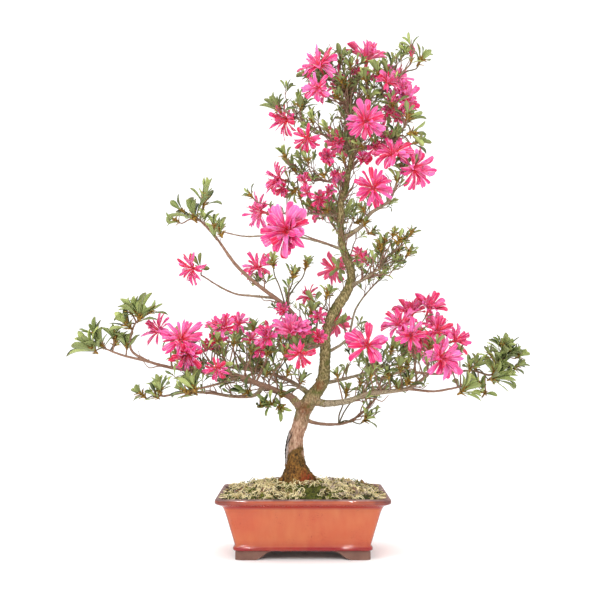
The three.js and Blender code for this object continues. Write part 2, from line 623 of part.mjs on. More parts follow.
function addPiece(name, solid, look) {
  const mesh = solid.getMesh();
  const geometry = new THREE.BufferGeometry();
  geometry.setAttribute('position', new THREE.BufferAttribute(Float32Array.from(mesh.vertProperties), 3));
  geometry.setIndex(new THREE.BufferAttribute(Uint32Array.from(mesh.triVerts), 1));
  geometry.computeVertexNormals();
  const piece = new THREE.Mesh(geometry, new THREE.MeshStandardMaterial(look));
  piece.name = name;
  tree.add(piece);
}

const trunkFoot = makeTrunk(TRUNK, CLEARANCE);
addPiece('pot', makePot(), looks.pot);
addPiece('drain_mesh', plate(DRAIN_MESH, 0), looks.drain_mesh);
addPiece('soil', makeSoil(trunkFoot), looks.soil);
addPiece('moss', makeLayer(CLEARANCE, CLEARANCE + MOSS_THICKNESS, 0).subtract(trunkFoot), looks.moss);
addPiece('sphagnum', makeSphagnum(trunkFoot), looks.sphagnum);

// The nearest point on the middle of the trunk or a branch, where a twig or spur is rooted.
const middles = [[TRUNK, TRUNK_STEPS], ...Object.values(LIMBS).map(([, , points]) => [points])];
const middleLines = middles.flatMap(([list, steps]) => {
  const points = list.map(([x, y, z]) => v3(x, y, z));
  const line = new THREE.CatmullRomCurve3(points).getSpacedPoints(steps ?? limbSteps(points));
  return line.slice(1).map((end, k) => new THREE.Line3(line[k], end));
});

function onWood(place) {
  const spots = middleLines.map((line) => line.closestPointToPoint(place, true, v3()));
  return spots.reduce((best, next) => (next.distanceTo(place) < best.distanceTo(place) ? next : best));
}

// The twig that carries a truss is part of the wood. One flower's twig stops short of its tube, and the
// flowers of a larger truss part from a fork in front of the twig.
const trusses = Object.entries(TRUSSES).map(([owner, [place, ...list]]) => {
  const foot = onWood(point(place));
  const flowers = list.map(([centre, facing, radius]) => (
    { centre: point(centre), axis: point(facing).normalize(), radius }
  ));
  if (flowers.length === 1) {
    const [{ centre, axis, radius }] = flowers;
    return { owner, foot, flowers, axis, twigEnd: centre.clone().addScaledVector(axis, -0.55 * radius) };
  }
  const middle = centreOf(flowers.map(({ centre }) => centre));
  const axis = middle.clone().sub(foot).normalize();
  return { owner, foot, flowers, axis, twigEnd: foot.clone().lerp(middle, FORK_SHARE) };
});

// A leafy shoot goes on from its branch's end. Along a branch, a short spur of wood carries it and points
// to the middle of its whorls.
const limbEnds = Object.values(LIMBS).map(([, , points]) => points.map(point));
const shoots = Object.entries(SHOOTS).map(([owner, [place, ...whorls]]) => {
  const end = point(place);
  const limb = limbEnds.find((points) => points.at(-1).distanceTo(end) < 1);
  if (limb) {
    const axis = new THREE.CatmullRomCurve3(limb).getTangentAt(1);
    return { owner, axis, start: end, whorls, spur: false };
  }
  const foot = onWood(end);
  const middle = centreOf(whorls.map(([centre]) => point(centre)));
  const axis = middle.sub(foot).normalize();
  const start = foot.clone().addScaledVector(axis, SPUR_LENGTH);
  return { owner, foot, axis, start, whorls, spur: true };
});

const wood = [
  makeTrunk(TRUNK),
  ...Object.values(LIMBS).map((limb) => makeLimb(limb)),
  ...trusses.map(({ foot, twigEnd, axis }) => makeTwig(foot, twigEnd, axis)),
  ...shoots.filter(({ spur }) => spur).map(({ foot, start, axis }) => makeTwig(foot, start, axis)),
];
wood.forEach((limb) => keepClear(limb, 'trunk'));
addPiece('trunk', join(wood), looks.trunk);

// Flowers first, then the leaves in the room they leave.
const random = seededRandom(54);
for (const { owner, twigEnd, axis, flowers } of trusses) {
  const start = twigEnd.clone().addScaledVector(axis, CLEARANCE);
  const pieces = flowers.flatMap((flower) => makeFlower(owner, start, axis, flower, random));
  pieces.forEach((piece) => keepClear(piece, owner));
  addPiece(owner, join(pieces), looks.bloom);
}
for (const { owner, start, axis, whorls } of shoots) {
  const pieces = makeShoot(owner, start, axis, whorls, random);
  pieces.forEach((piece) => keepClear(piece, owner));
  addPiece(owner, join(pieces), looks.shoot);
}

const box = new THREE.Box3().setFromObject(tree);
tree.position.set(-(box.min.x + box.max.x) / 2, -(box.min.y + box.max.y) / 2, 0);

export default tree;
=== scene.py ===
"""Satsuki azalea bonsai: glazed pot, bark, leaves, spider blooms, moss and studio round the solid frame."""

import math
import random

import bmesh
import bpy
import numpy as np
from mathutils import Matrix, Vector, noise


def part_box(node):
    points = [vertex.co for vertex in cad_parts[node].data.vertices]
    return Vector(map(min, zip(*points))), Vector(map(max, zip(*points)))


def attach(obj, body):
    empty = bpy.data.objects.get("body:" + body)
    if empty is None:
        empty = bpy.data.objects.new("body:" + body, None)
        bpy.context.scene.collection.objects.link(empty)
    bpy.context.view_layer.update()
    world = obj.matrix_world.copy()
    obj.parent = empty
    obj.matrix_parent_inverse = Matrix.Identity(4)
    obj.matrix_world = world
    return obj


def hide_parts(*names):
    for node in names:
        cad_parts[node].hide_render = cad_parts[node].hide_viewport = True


bl_info = {
    "name": "Satsuki Azalea Bonsai",
    "version": (1, 0, 0),
    "blender": (4, 5, 0),
    "location": "View3D > Sidebar > Bonsai",
    "description": "Builds a flowering azalea bonsai in its pot around its solid frame",
    "category": "Add Mesh",
}

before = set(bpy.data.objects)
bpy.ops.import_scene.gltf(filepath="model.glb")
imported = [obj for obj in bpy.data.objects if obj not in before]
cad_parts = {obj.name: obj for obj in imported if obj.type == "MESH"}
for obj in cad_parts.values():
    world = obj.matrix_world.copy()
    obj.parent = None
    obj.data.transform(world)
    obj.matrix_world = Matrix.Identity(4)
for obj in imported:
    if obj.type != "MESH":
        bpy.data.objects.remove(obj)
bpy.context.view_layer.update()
MM = 0.001
UP = Vector((0, 0, 1))
# in radians: a full turn, rounded, and the golden angle by which one leaf follows another round a shoot
FULL_TURN = 6.28
GOLDEN_ANGLE = 2.4

# The pot's middle, from which every place below is measured, in millimetres.
POT_LOW, POT_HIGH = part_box("pot")
POT = Vector(((POT_LOW.x + POT_HIGH.x) / 2, (POT_LOW.y + POT_HIGH.y) / 2, 0))

# ---- Layout of the tree ----

# (x, y, z, radius) up the trunk
TRUNK = [
    (-8, 0, 84, 26), (-8, 0, 100, 25), (-9, 0, 108, 20.5), (-10, 0, 119, 15.5), (-10, 0, 141, 11.6),
    (-10, 1, 161, 10.8), (-3, 4, 185, 10.6), (3, 6, 202, 11.5), (11, 8, 216, 11), (28, 6, 240, 9.5),
    (32, 0, 271, 8), (34, -5, 313, 7), (41, -4, 335, 7.2), (54, 0, 356, 8), (67, 4, 378, 7.2),
    (71, 8, 400, 6), (65, 11, 421, 6), (58, 12, 443, 6), (56, 11, 465, 6), (56, 8, 487, 5.5),
    (56, 5, 508, 5.2), (62, 3, 522, 5), (66, 1, 544, 4.6), (74, -2, 579, 4.2), (72, -5, 617, 3.6),
    (71, -5, 646, 3), (70, -3, 672, 2),
]

# Branches: radius at the root, radius at the end, and the way they take
LIMBS = {
    "low_left": (5.9, 2.1, [(-1, 6, 203), (-18, 2, 220), (-34, -3, 227), (-59, -10, 237), (-94, -24, 250),
                            (-137, -34, 256), (-189, -41, 263), (-224, -44, 273)]),
    "low_left_rise": (2.1, 1.3, [(-220, -43, 272), (-240, -48, 287), (-236, -54, 320), (-224, -58, 334)]),
    "low_left_end": (2.3, 1.4, [(-216, -42, 271), (-250, -50, 279), (-274, -56, 288)]),
    "low_left_front": (2.6, 1.4, [(-92, -24, 249), (-117, -45, 240), (-145, -60, 233)]),
    "low_left_back": (3.4, 1.6, [(-57, -10, 236), (-68, 2, 223), (-103, 18, 220), (-132, 30, 224),
                                 (-171, 42, 225), (-208, 50, 219)]),
    "inner_left": (4, 1.7, [(13, 8, 221), (-5, 18, 234), (-23, 28, 244), (-55, 46, 254), (-106, 68, 261)]),
    "rising_left": (4.4, 1.7, [(32, -3, 293), (8, -8, 315), (-25, -20, 350), (-62, -35, 378),
                               (-93, -48, 405), (-123, -58, 446), (-144, -60, 468)]),
    "arched_left": (2.2, 1.2, [(-38, -25, 361), (-75, -4, 366), (-96, 8, 369), (-119, 18, 379),
                               (-146, 26, 396)]),
    "thin_left": (2.2, 1, [(60, 12, 435), (21, 6, 447), (-29, 4, 456), (-85, 14, 455), (-120, 22, 463)]),
    "low_right": (6, 2.2, [(13, 8, 217), (28, 2, 211), (63, -12, 214), (94, -25, 225), (124, -36, 229),
                           (149, -44, 234), (174, -54, 252)]),
    "low_right_end": (2.4, 1.4, [(146, -43, 233), (183, -38, 229), (222, -34, 235)]),
    "under_right": (2.9, 1.6, [(-1, 5, 192), (13, 12, 183), (53, 28, 179), (76, 38, 186), (108, 52, 215),
                             (120, 60, 249)]),
    "far_right": (2.6, 1.5, [(119, 59, 244), (147, 64, 255), (203, 70, 252), (258, 72, 257), (288, 74, 251),
                             (303, 78, 274)]),
    "thin_right": (2.4, 1, [(33, -1, 282), (65, 24, 304), (81, 42, 352), (125, 58, 406)]),
    "fan_right": (3, 1.5, [(68, 5, 381), (81, -8, 386), (110, -34, 403)]),
    "rising_right": (4, 1.8, [(58, 12, 450), (86, -4, 468), (97, -14, 484), (122, -30, 499),
                              (129, -36, 511), (136, -44, 532)]),
    "crown_right": (2.8, 1.5, [(73, -2, 577), (100, -20, 582), (129, -38, 587), (146, -50, 606)]),
    "apex_right": (2.8, 1.3, [(71, -5, 641), (98, -12, 656), (134, -22, 679), (156, -30, 700)]),
    "crown_left": (2.8, 1.5, [(74, -2, 578), (45, 12, 598), (5, 22, 625), (-28, 28, 648)]),
    "upper_left": (2.6, 1.4, [(64, 2, 532), (29, 22, 540), (-4, 32, 554)]),
    "mid_left": (1.9, 1.2, [(56, 8, 484), (14, 24, 490), (-34, 36, 493)]),
    "apex_left": (2.4, 1.3, [(71, -5, 652), (55, -4, 672), (36, -4, 690)]),
    "back_crown": (2.8, 1.5, [(73, -4, 605), (78, 36, 628), (88, 74, 650)]),
    "back_middle": (3, 1.5, [(56, 11, 462), (54, 50, 478), (66, 92, 500)]),
    "back_left": (3.2, 1.5, [(33, -2, 300), (8, 46, 288), (-34, 98, 286)]),
    "back_right": (3.2, 1.5, [(27, 6, 238), (84, 66, 250), (150, 112, 268)]),
}

# Each truss: its foot on the wood, then its flowers as (centre, way they face, radius, petals, petal width
# against its length)
TRUSSES = {
    "bloom_apex_left": ((44, -4, 682), [
        ((22, -32, 700), (-0.4, -0.6, 0.6), 31, 18, 0.25),
        ((18, -14, 667), (-0.5, -0.2, -0.8), 18, 10, 0.26),
    ]),
    "bloom_apex": ((70, -4, 664), [
        ((95, 2, 720), (0.1, -0.3, 0.95), 35, 17, 0.24),
        ((62, 34, 686), (-0.2, 0.8, 0.5), 22, 13, 0.26),
    ]),
    "bloom_apex_right": ((112, -16, 665), [
        ((142, 6, 692), (0.6, -0.5, 0.5), 27, 16, 0.3),
        ((150, -8, 654), (0.6, -0.6, -0.3), 26, 16, 0.3),
        ((127, 24, 640), (0.3, 0.8, -0.3), 17, 12, 0.28),
    ]),
    "bloom_crown_front": ((73, -4, 600), [((89, -62, 609), (0.05, -1, 0.05), 30, 20, 0.26)]),
    "bloom_crown_left": ((5, 22, 625), [((-28, 40, 636), (-0.8, -0.35, -0.2), 30, 17, 0.25)]),
    "bloom_crown_drop": ((24, 17, 612), [((5, -38, 588), (-0.3, -0.7, -0.6), 22, 13, 0.27)]),
    "bloom_upper_left": ((10, 28, 548), [((-38, 28, 543), (-0.8, -0.45, 0.1), 28, 16, 0.25)]),
    "bloom_mid_left": ((-34, 36, 493), [((-66, 38, 496), (-0.8, -0.5, 0.1), 29, 16, 0.25)]),
    "bloom_large": ((45, 10, 439), [((-24, -62, 453), (-0.3, -0.88, -0.05), 41, 22, 0.34)]),
    "bloom_below_large": ((-76, -41, 388), [((-66, -8, 409), (-0.3, -0.6, 0.6), 28, 17, 0.22)]),
    "bloom_arched_end": ((-146, 26, 396), [((-166, 28, 408), (-0.5, -0.7, -0.2), 26, 16, 0.22)]),
    "bloom_behind_bend": ((70, 8, 396), [
        ((46, 56, 412), (-0.4, 0.9, 0.1), 27, 17, 0.27),
        ((86, 52, 430), (0.5, 0.7, 0.3), 17, 12, 0.28),
    ]),
    "bloom_inner": ((44, -3, 340), [((8, 26, 368), (-0.6, 0.5, 0.6), 20, 12, 0.26)]),
    "bloom_inner_front": ((32, -3, 292), [
        ((-16, -46, 315), (-0.3, -0.5, 0.8), 29, 17, 0.3),
        ((-4, -60, 280), (0, -0.8, -0.5), 22, 13, 0.28),
    ]),
    "bloom_behind_trunk": ((34, -5, 316), [((50, 56, 330), (0.1, 0.95, 0.2), 25, 16, 0.28)]),
    "bloom_right_front": ((112, -32, 227), [((89, -68, 295), (-0.1, -0.95, 0.2), 32, 14, 0.36)]),
    "bloom_right_middle": ((158, -48, 239), [
        ((137, -34, 325), (-0.3, -0.6, 0.7), 28, 16, 0.34),
        ((172, -4, 302), (0.4, -0.7, 0.5), 25, 15, 0.32),
    ]),
    "bloom_right_top": ((166, 66, 254), [
        ((160, 26, 344), (-0.2, -0.2, 0.95), 28, 17, 0.34),
        ((200, 30, 322), (0.6, -0.5, 0.6), 27, 16, 0.32),
    ]),
    "bloom_right_outer": ((174, -54, 252), [((194, -66, 277), (0.4, -0.8, 0.2), 32, 17, 0.33)]),
    "bloom_left_outer": ((-182, -40, 262), [
        ((-208, -20, 316), (-0.65, -0.5, 0.4), 27, 17, 0.22),
        ((-168, -68, 303), (0.1, -0.95, 0.2), 33, 20, 0.22),
    ]),
    "bloom_left_small": ((-98, 65, 260), [
        ((-128, 30, 322), (-0.3, -0.5, 0.8), 20, 12, 0.34),
        ((-94, 24, 328), (0.1, -0.6, 0.7), 20, 14, 0.3),
    ]),
    "bloom_left_drop": ((-108, -28, 253), [((-119, -72, 260), (-0.2, -0.8, -0.5), 19, 12, 0.3)]),
    "bloom_shoulder": ((136, -44, 532), [
        ((127, -60, 564), (-0.2, -0.8, 0.5), 29, 17, 0.28),
        ((160, -50, 543), (0.6, -0.65, -0.25), 33, 19, 0.26),
    ]),
    "bloom_shoulder_front": ((112, -24, 494), [((98, -66, 514), (-0.15, -0.95, 0.1), 29, 20, 0.24)]),
    "bloom_back_crown": ((80, 44, 632), [((62, 74, 612), (-0.3, 0.9, -0.2), 30, 17, 0.28)]),
    "bloom_back_middle": ((55, 56, 480), [((34, 88, 512), (-0.4, 0.8, 0.4), 28, 17, 0.28)]),
    "bloom_back_left": ((-34, 98, 286), [((-10, 122, 300), (0.3, 0.7, 0.6), 31, 17, 0.3)]),
    "bloom_back_right": ((150, 112, 268), [((178, 126, 292), (0.4, 0.6, 0.6), 31, 17, 0.3)]),
}

# Each leafy shoot: its foot on the wood, then its whorls as (centre, leaves, leaf length)
SHOOTS = {
    "shoot_left_end": ((-274, -56, 288), [((-303, -58, 299), 10, 40), ((-262, -40, 310), 7, 27)]),
    "shoot_left_top": ((-224, -58, 334), [((-236, -58, 350), 11, 38), ((-250, -66, 330), 7, 30)]),
    "shoot_low_back": ((-208, 50, 219), [((-216, 48, 240), 10, 30), ((-250, 58, 228), 5, 24)]),
    "shoot_low_front": ((-145, -60, 233), [((-156, -62, 248), 10, 34), ((-172, -60, 236), 4, 26)]),
    "shoot_inner_left": ((-106, 68, 261), [((-128, 64, 300), 6, 24), ((-98, 72, 312), 6, 22),
                                           ((-74, 58, 328), 8, 26)]),
    "shoot_inner": ((-38, 36, 249), [((-54, 40, 300), 7, 24), ((-22, 14, 288), 8, 24),
                                     ((-68, 34, 276), 6, 24)]),
    "shoot_under_left": ((-34, -3, 227), [((-54, -22, 212), 6, 24), ((-30, -20, 202), 5, 20)]),
    "shoot_rising_end": ((-144, -60, 468), [((-158, -62, 486), 11, 36), ((-137, -58, 506), 7, 30)]),
    "shoot_thin_left": ((-120, 22, 463), [((-128, 24, 473), 9, 29)]),
    "shoot_sprigs_left": ((-25, -20, 350), [((-12, -26, 404), 5, 21), ((-44, -40, 420), 5, 21),
                                            ((8, -24, 418), 5, 21)]),
    "shoot_crown_left": ((-28, 28, 648), [((-44, 28, 660), 10, 31), ((4, 10, 660), 7, 23)]),
    "shoot_apex_left": ((36, -4, 690), [((2, 6, 700), 5, 24), ((36, 12, 712), 6, 26),
                                        ((60, -6, 726), 5, 26)]),
    "shoot_apex_right": ((134, -22, 679), [((118, -28, 700), 8, 28), ((176, -34, 714), 7, 29)]),
    "shoot_crown_low": ((146, -50, 606), [((150, -50, 630), 6, 25), ((166, -44, 596), 6, 25)]),
    "shoot_upper_left": ((-4, 32, 554), [((-18, 34, 568), 8, 27), ((-20, 44, 522), 7, 24)]),
    "shoot_fan": ((110, -34, 403), [((112, -30, 444), 5, 20), ((140, -36, 452), 5, 20),
                                    ((156, -42, 432), 5, 20)]),
    "shoot_right_end": ((303, 78, 274), [((308, 80, 290), 10, 34)]),
    "shoot_right_low": ((262, 72, 257), [((302, 66, 252), 9, 38), ((266, 74, 276), 6, 25)]),
    "shoot_right_under": ((222, -34, 235), [((236, -36, 238), 9, 34)]),
    "shoot_right_middle": ((134, -39, 230), [((150, -62, 252), 6, 22), ((120, -20, 262), 5, 22),
                                             ((150, -30, 274), 5, 22)]),
    "shoot_right_inner": ((53, 28, 179), [((98, 6, 194), 6, 22), ((66, 24, 236), 5, 22),
                                          ((88, 12, 250), 5, 20)]),
    "shoot_centre": ((8, -8, 315), [((14, -20, 352), 8, 24), ((38, -22, 376), 5, 20)]),
    "shoot_back_crown": ((88, 74, 650), [((94, 86, 664), 9, 29), ((62, 72, 668), 6, 26)]),
    "shoot_back_middle": ((66, 92, 500), [((70, 102, 512), 9, 28), ((98, 84, 492), 6, 26)]),
    "shoot_back_left": ((-20, 82, 286), [((-56, 104, 298), 9, 29), ((-40, 74, 318), 6, 26)]),
    "shoot_back_right": ((122, 93, 260), [((140, 84, 300), 8, 27), ((112, 112, 282), 7, 27)]),
}

# Fine side twigs: branch, share of its length where they start and end, how many, how long they reach,
# leaf length and the share of their tips that bear leaves
SPRIGS = [
    ("trunk", 0.6, 0.78, 26, 36, 14, 0.24), ("trunk", 0.78, 1, 84, 48, 15, 0.2),
    ("trunk", 0.36, 0.6, 16, 34, 13, 0.35), ("low_left", 0.15, 0.8, 32, 44, 20, 0.45),
    ("low_left_back", 0.15, 0.75, 12, 34, 18, 0.4), ("inner_left", 0.15, 1, 24, 50, 18, 0.4),
    ("rising_left", 0.05, 0.5, 16, 38, 14, 0.5), ("rising_left", 0.8, 1, 4, 18, 18, 0.6),
    ("low_right", 0.3, 0.95, 20, 40, 18, 0.4), ("under_right", 0.45, 0.95, 10, 36, 18, 0.4),
    ("far_right", 0.8, 1, 7, 20, 27, 1), ("thin_right", 0.2, 1, 12, 28, 14, 0.5),
    ("fan_right", 0.3, 1, 14, 42, 16, 0.7), ("rising_right", 0.3, 1, 12, 28, 18, 0.5),
    ("crown_right", 0.2, 1, 14, 34, 18, 0.36), ("apex_right", 0.1, 1, 14, 32, 19, 0.36),
    ("crown_left", 0.1, 0.95, 18, 34, 18, 0.45), ("upper_left", 0.2, 0.9, 12, 30, 17, 0.45),
    ("mid_left", 0.2, 0.9, 9, 26, 16, 0.5), ("apex_left", 0.1, 1, 12, 30, 20, 0.45),
    ("back_crown", 0.2, 1, 12, 32, 20, 0.7), ("back_middle", 0.2, 1, 12, 34, 20, 0.7),
    ("back_left", 0.2, 1, 13, 34, 20, 0.7), ("back_right", 0.2, 1, 14, 34, 20, 0.7),
]

# Small and half-open flowers: place, way they face, radius, petals, how deep their colour is, which is partly
# painted shade
BLOSSOMS = [
    ((52, -10, 684), (-0.3, -0.8, 0.3), 11, 9, 0.3), ((79, -14, 689), (-0.2, -0.6, 0.7), 11, 9, 0.3),
    ((98, -12, 682), (0.4, -0.7, 0.5), 12, 9, 0.3), ((123, -20, 631), (0.3, -0.8, 0.3), 13, 10, 0.35),
    ((138, -10, 625), (0.6, -0.6, -0.2), 12, 9, 0.3), ((54, -22, 588), (-0.3, -0.8, -0.4), 12, 9, 0.4),
    ((37, -20, 568), (-0.2, -0.9, -0.3), 15, 11, 0.5), ((87, -18, 562), (0.1, -0.8, 0.3), 13, 10, 0.35),
    ((119, -30, 594), (0.2, -0.6, 0.7), 15, 11, 0.0), ((103, -26, 579), (0.2, -0.8, -0.4), 13, 10, 0.1),
    ((51, -14, 544), (-0.1, -0.5, -0.8), 14, 10, 0.3), ((3, 0, 533), (-0.3, -0.7, 0.5), 13, 10, 0.3),
    ((6, -10, 515), (-0.1, -0.8, 0.3), 12, 9, 0.2), ((24, -8, 507), (0.1, -0.7, -0.5), 14, 10, 0.3),
    ((-28, 20, 530), (-0.3, -0.5, -0.7), 14, 10, 0.35), ((37, -12, 516), (0.2, -0.8, 0.3), 11, 9, 0.3),
    ((88, -14, 414), (0.3, -0.7, 0.6), 12, 9, 0.2), ((-133, -20, 297), (-0.2, -0.7, -0.4), 12, 9, 0.4),
    ((-120, 0, 300), (0.2, -0.8, 0.2), 13, 9, 0.3), ((-75, -10, 302), (0.2, -0.8, 0.4), 13, 10, 0.0),
    ((-61, -20, 287), (-0.1, -0.9, -0.1), 13, 9, 0.1), ((22, -20, 333), (0.1, -0.8, 0.5), 14, 10, 0.3),
    ((-4, -40, 315), (0.3, -0.8, 0.3), 16, 11, 0.35), ((-27, -30, 341), (-0.3, -0.6, 0.7), 13, 10, 0.2),
    ((22, -30, 306), (0.2, -0.9, 0.1), 13, 10, 0.3), ((32, -20, 657), (-0.4, -0.8, 0.1), 13, 10, 0.0),
    ((142, -14, 668), (0.6, -0.7, 0.2), 16, 12, 0.0), ((150, -14, 646), (0.6, -0.6, -0.4), 15, 11, 0.1),
    ((128, -22, 652), (0.1, -0.8, 0.5), 12, 9, 0.2), ((184, 10, 346), (0.3, -0.5, 0.8), 26, 14, 0.0),
    ((192, -20, 314), (0.3, -0.8, 0.3), 22, 12, 0.0), ((150, -56, 306), (-0.2, -0.9, 0.2), 22, 12, 0.0),
    ((216, -20, 300), (0.6, -0.6, 0.2), 22, 12, 0.1), ((-48, -36, 306), (-0.4, -0.8, 0.2), 19, 12, 0.3),
    ((-110, -40, 318), (-0.2, -0.7, 0.6), 19, 12, 0.1), ((22, -44, 660), (-0.4, -0.8, -0.1), 20, 12, 0.0),
    ((120, -44, 668), (0.3, -0.7, 0.5), 19, 12, 0.0), ((-160, -62, 282), (0.1, -0.8, -0.6), 24, 13, 0.1),
]

# Furled buds: place, way they point, length
BUDS = [
    ((52, -10, 690), (0.1, -0.2, 1), 16), ((80, -14, 700), (-0.1, -0.3, 1), 14),
    ((103, -24, 688), (0.2, -0.3, 1), 18), ((126, -34, 640), (0.3, -0.4, 0.6), 16),
    ((134, -40, 628), (0.6, -0.4, 0.5), 16), ((122, -30, 600), (0.3, -0.6, -0.4), 18),
    ((52, -20, 596), (-0.3, -0.5, 0.6), 12), ((36, -18, 572), (-0.3, -0.6, -0.5), 17),
    ((13, 8, 536), (-0.4, -0.5, 0.3), 15), ((50, -14, 522), (-0.4, -0.5, 0.6), 14),
    ((156, -36, 702), (0.05, -0.1, 1), 26), ((-134, 34, 300), (-0.3, -0.3, 0.9), 14),
    ((-118, -40, 302), (0.3, -0.4, 0.8), 14), ((-74, 20, 302), (0.2, -0.4, 0.8), 15),
    ((-60, 24, 288), (-0.3, -0.4, 0.4), 14), ((-48, -20, 316), (-0.3, -0.4, 0.7), 16),
    ((24, -24, 330), (0.1, -0.6, 0.7), 14), ((88, -6, 420), (0.3, -0.4, 0.8), 14),
]

# Tufts of leaves that break from the older wood: base, leaves, leaf length, how dark they are
TUFTS = [
    ((95, -40, 649), 7, 24, -0.15), ((129, -30, 643), 7, 24, 0), ((49, -30, 653), 6, 22, 0),
    ((35, -20, 706), 7, 26, 0), ((69, -25, 699), 7, 24, 0.1), ((108, -35, 687), 9, 30, -0.2),
    ((35, -35, 602), 7, 24, 0), ((13, -25, 619), 6, 22, 0), ((-4, -10, 644), 8, 27, -0.1),
    ((-26, -10, 571), 6, 24, -0.1), ((6, -30, 560), 6, 22, 0.1), ((82, -40, 579), 5, 20, -0.1),
    ((61, -30, 671), 6, 20, 0.25), ((153, -40, 618), 7, 25, 0.1), ((162, -45, 582), 6, 26, 0.1),
    ((132, -60, 528), 5, 22, 0), ((28, -30, 538), 5, 18, 0.2), ((-4, 0, 514), 5, 18, 0.3),
    ((85, -20, 492), 4, 18, 0.1), ((-78, 20, 518), 5, 22, 0), ((-120, -45, 304), 6, 30, -0.2),
    ((-97, -35, 298), 6, 22, 0), ((-72, -30, 287), 7, 22, 0.1), ((-50, -25, 284), 6, 20, 0.1),
    ((-24, -45, 284), 7, 20, 0), ((-52, -20, 256), 6, 20, 0.1), ((-21, -20, 256), 6, 20, 0.1),
    ((-1, -25, 245), 6, 22, 0.35), ((-79, -30, 228), 6, 30, 0.35), ((-58, -20, 210), 5, 24, 0.3),
    ((-30, -25, 225), 6, 22, 0.3), ((-152, -50, 228), 9, 30, 0), ((-282, -50, 294), 12, 31, 0),
    ((-247, -45, 294), 12, 30, 0), ((-227, -55, 331), 12, 31, 0), ((-218, 40, 220), 8, 26, 0),
    ((49, -20, 252), 6, 20, 0.1), ((95, -35, 253), 8, 24, 0.1), ((120, -40, 253), 7, 24, 0.1),
    ((136, -45, 262), 8, 26, 0), ((134, -40, 236), 6, 20, 0.1), ((253, 60, 261), 8, 26, 0.1),
    ((261, 40, 237), 9, 26, -0.1), ((269, 40, 226), 5, 28, 0.1), ((295, 70, 270), 10, 28, 0.1),
    ((314, 75, 288), 9, 27, 0.05), ((326, 70, 264), 8, 27, 0.05), ((309, 70, 249), 8, 26, -0.2),
    ((220, -40, 284), 5, 20, 0.3), ((178, -50, 292), 5, 18, 0), ((163, -60, 314), 4, 18, 0),
    ((146, -30, 447), 5, 20, 0.1), ((130, -34, 455), 4, 15, 0), ((155, -38, 454), 4, 19, 0.1),
    ((118, -28, 444), 5, 20, 0.1), ((136, -30, 427), 5, 20, 0.1), ((108, -20, 431), 4, 19, 0.1),
    ((100, -20, 457), 4, 19, 0.1), ((91, -15, 472), 4, 15, 0.1), ((-170, -60, 482), 4, 30, 0),
    ((-138, -58, 502), 4, 38, -0.1), ((-178, -62, 468), 3, 26, 0.1), ((-124, -56, 462), 4, 25, 0.1),
    ((12, 0, 499), 5, 18, 0.2), ((34, -10, 492), 5, 17, 0.3), ((303, 66, 296), 7, 26, 0.1),
    ((330, 72, 280), 6, 24, 0), ((284, 64, 282), 6, 24, 0.2), ((290, 66, 256), 6, 24, -0.1),
    ((-292, -50, 310), 6, 28, 0), ((-264, -46, 308), 6, 26, 0.1), ((-240, -55, 342), 6, 27, 0.1),
    ((-212, -54, 342), 6, 25, 0), ((88, -40, 678), 6, 24, 0), ((56, -36, 674), 6, 22, 0.2),
    ((20, -24, 676), 5, 24, 0), ((58, -34, 560), 5, 20, 0.2),
]


def place(x, y, z):
    """A place measured from the pot's middle in millimetres, as a point in metres."""
    return POT + Vector((x, y, z)) * MM


def colour(code):
    """An sRGB hex colour as linear RGBA."""
    parts = [int(code[k:k + 2], 16) / 255 for k in (1, 3, 5)]
    return tuple(c / 12.92 if c <= 0.04045 else ((c + 0.055) / 1.055) ** 2.4 for c in parts) + (1.0,)


# ---- Settings ----

def shade(name, description, code):
    """A colour setting whose default is an sRGB hex colour."""
    return bpy.props.FloatVectorProperty(name=name, description=description, subtype="COLOR", size=4,
                                         min=0, max=1, default=colour(code))


def size_factor(name, description):
    """A setting that makes a form from half to twice as large as the frame's."""
    return bpy.props.FloatProperty(name=name, description=description, subtype="FACTOR", default=1.0,
                                   min=0.5, max=2.0)


class BonsaiPot(bpy.types.PropertyGroup):
    glaze: shade("Glaze", "Orange of the thick glaze", "#C67042")
    # at the neck this red is partly painted shade under the lip
    glaze_red: shade("Red glaze", "Red where the glaze gathers at the neck and the foot bead", "#8E1418")
    glaze_edge: shade("Broken edge", "Brown where the glaze breaks over edges and corners", "#5A302E")
    clay: shade("Clay", "Bare fired clay of the feet", "#836052")


class BonsaiGround(bpy.types.PropertyGroup):
    moss: shade("Moss", "Cushion moss between the dry strands", "#465018")
    sphagnum: shade("Sphagnum", "Dried sphagnum", "#FFF2C4")
    strands: bpy.props.IntProperty(name="Strands", description="Number of dry strands", default=2800,
                                   min=500, max=4000)


class BonsaiTree(bpy.types.PropertyGroup):
    bark_low: shade("Lower bark", "Flaking bark on the lower trunk", "#A27C64")
    bark_high: shade("Upper bark", "Olive-brown bark on the upper trunk", "#84764C")
    twig: shade("Twig", "Bark of the branches and twigs", "#967864")
    petal: shade("Petal", "Blade of the petals", "#E0387E")
    throat: shade("Throat", "Root of the petals", "#FA4C46")
    leaf_young: shade("Young leaf", "Leaves in the middle of a rosette", "#BAC672")
    leaf_old: shade("Old leaf", "Oldest leaves, outside a rosette", "#2E3A1A")
    petal_size: size_factor("Petal size", "Length of the petals against the frame's")
    leaf_size: size_factor("Leaf size", "Length of the leaves against the frame's")


class BonsaiStudio(bpy.types.PropertyGroup):
    floor: shade("Floor", "Matt floor", "#FFFFFF")
    lens: bpy.props.FloatProperty(name="Lens", description="Focal length on a 36 mm wide sensor",
                                  default=57.9, min=20, max=200, unit="CAMERA")
    distance: bpy.props.FloatProperty(name="Distance", description="From the camera to the pot's middle",
                                      default=1.4, min=0.5, max=5, unit="LENGTH")


def settings(name):
    """The scene's own values of a group of settings."""
    return getattr(bpy.context.scene, name)


# ---- Shapes ----

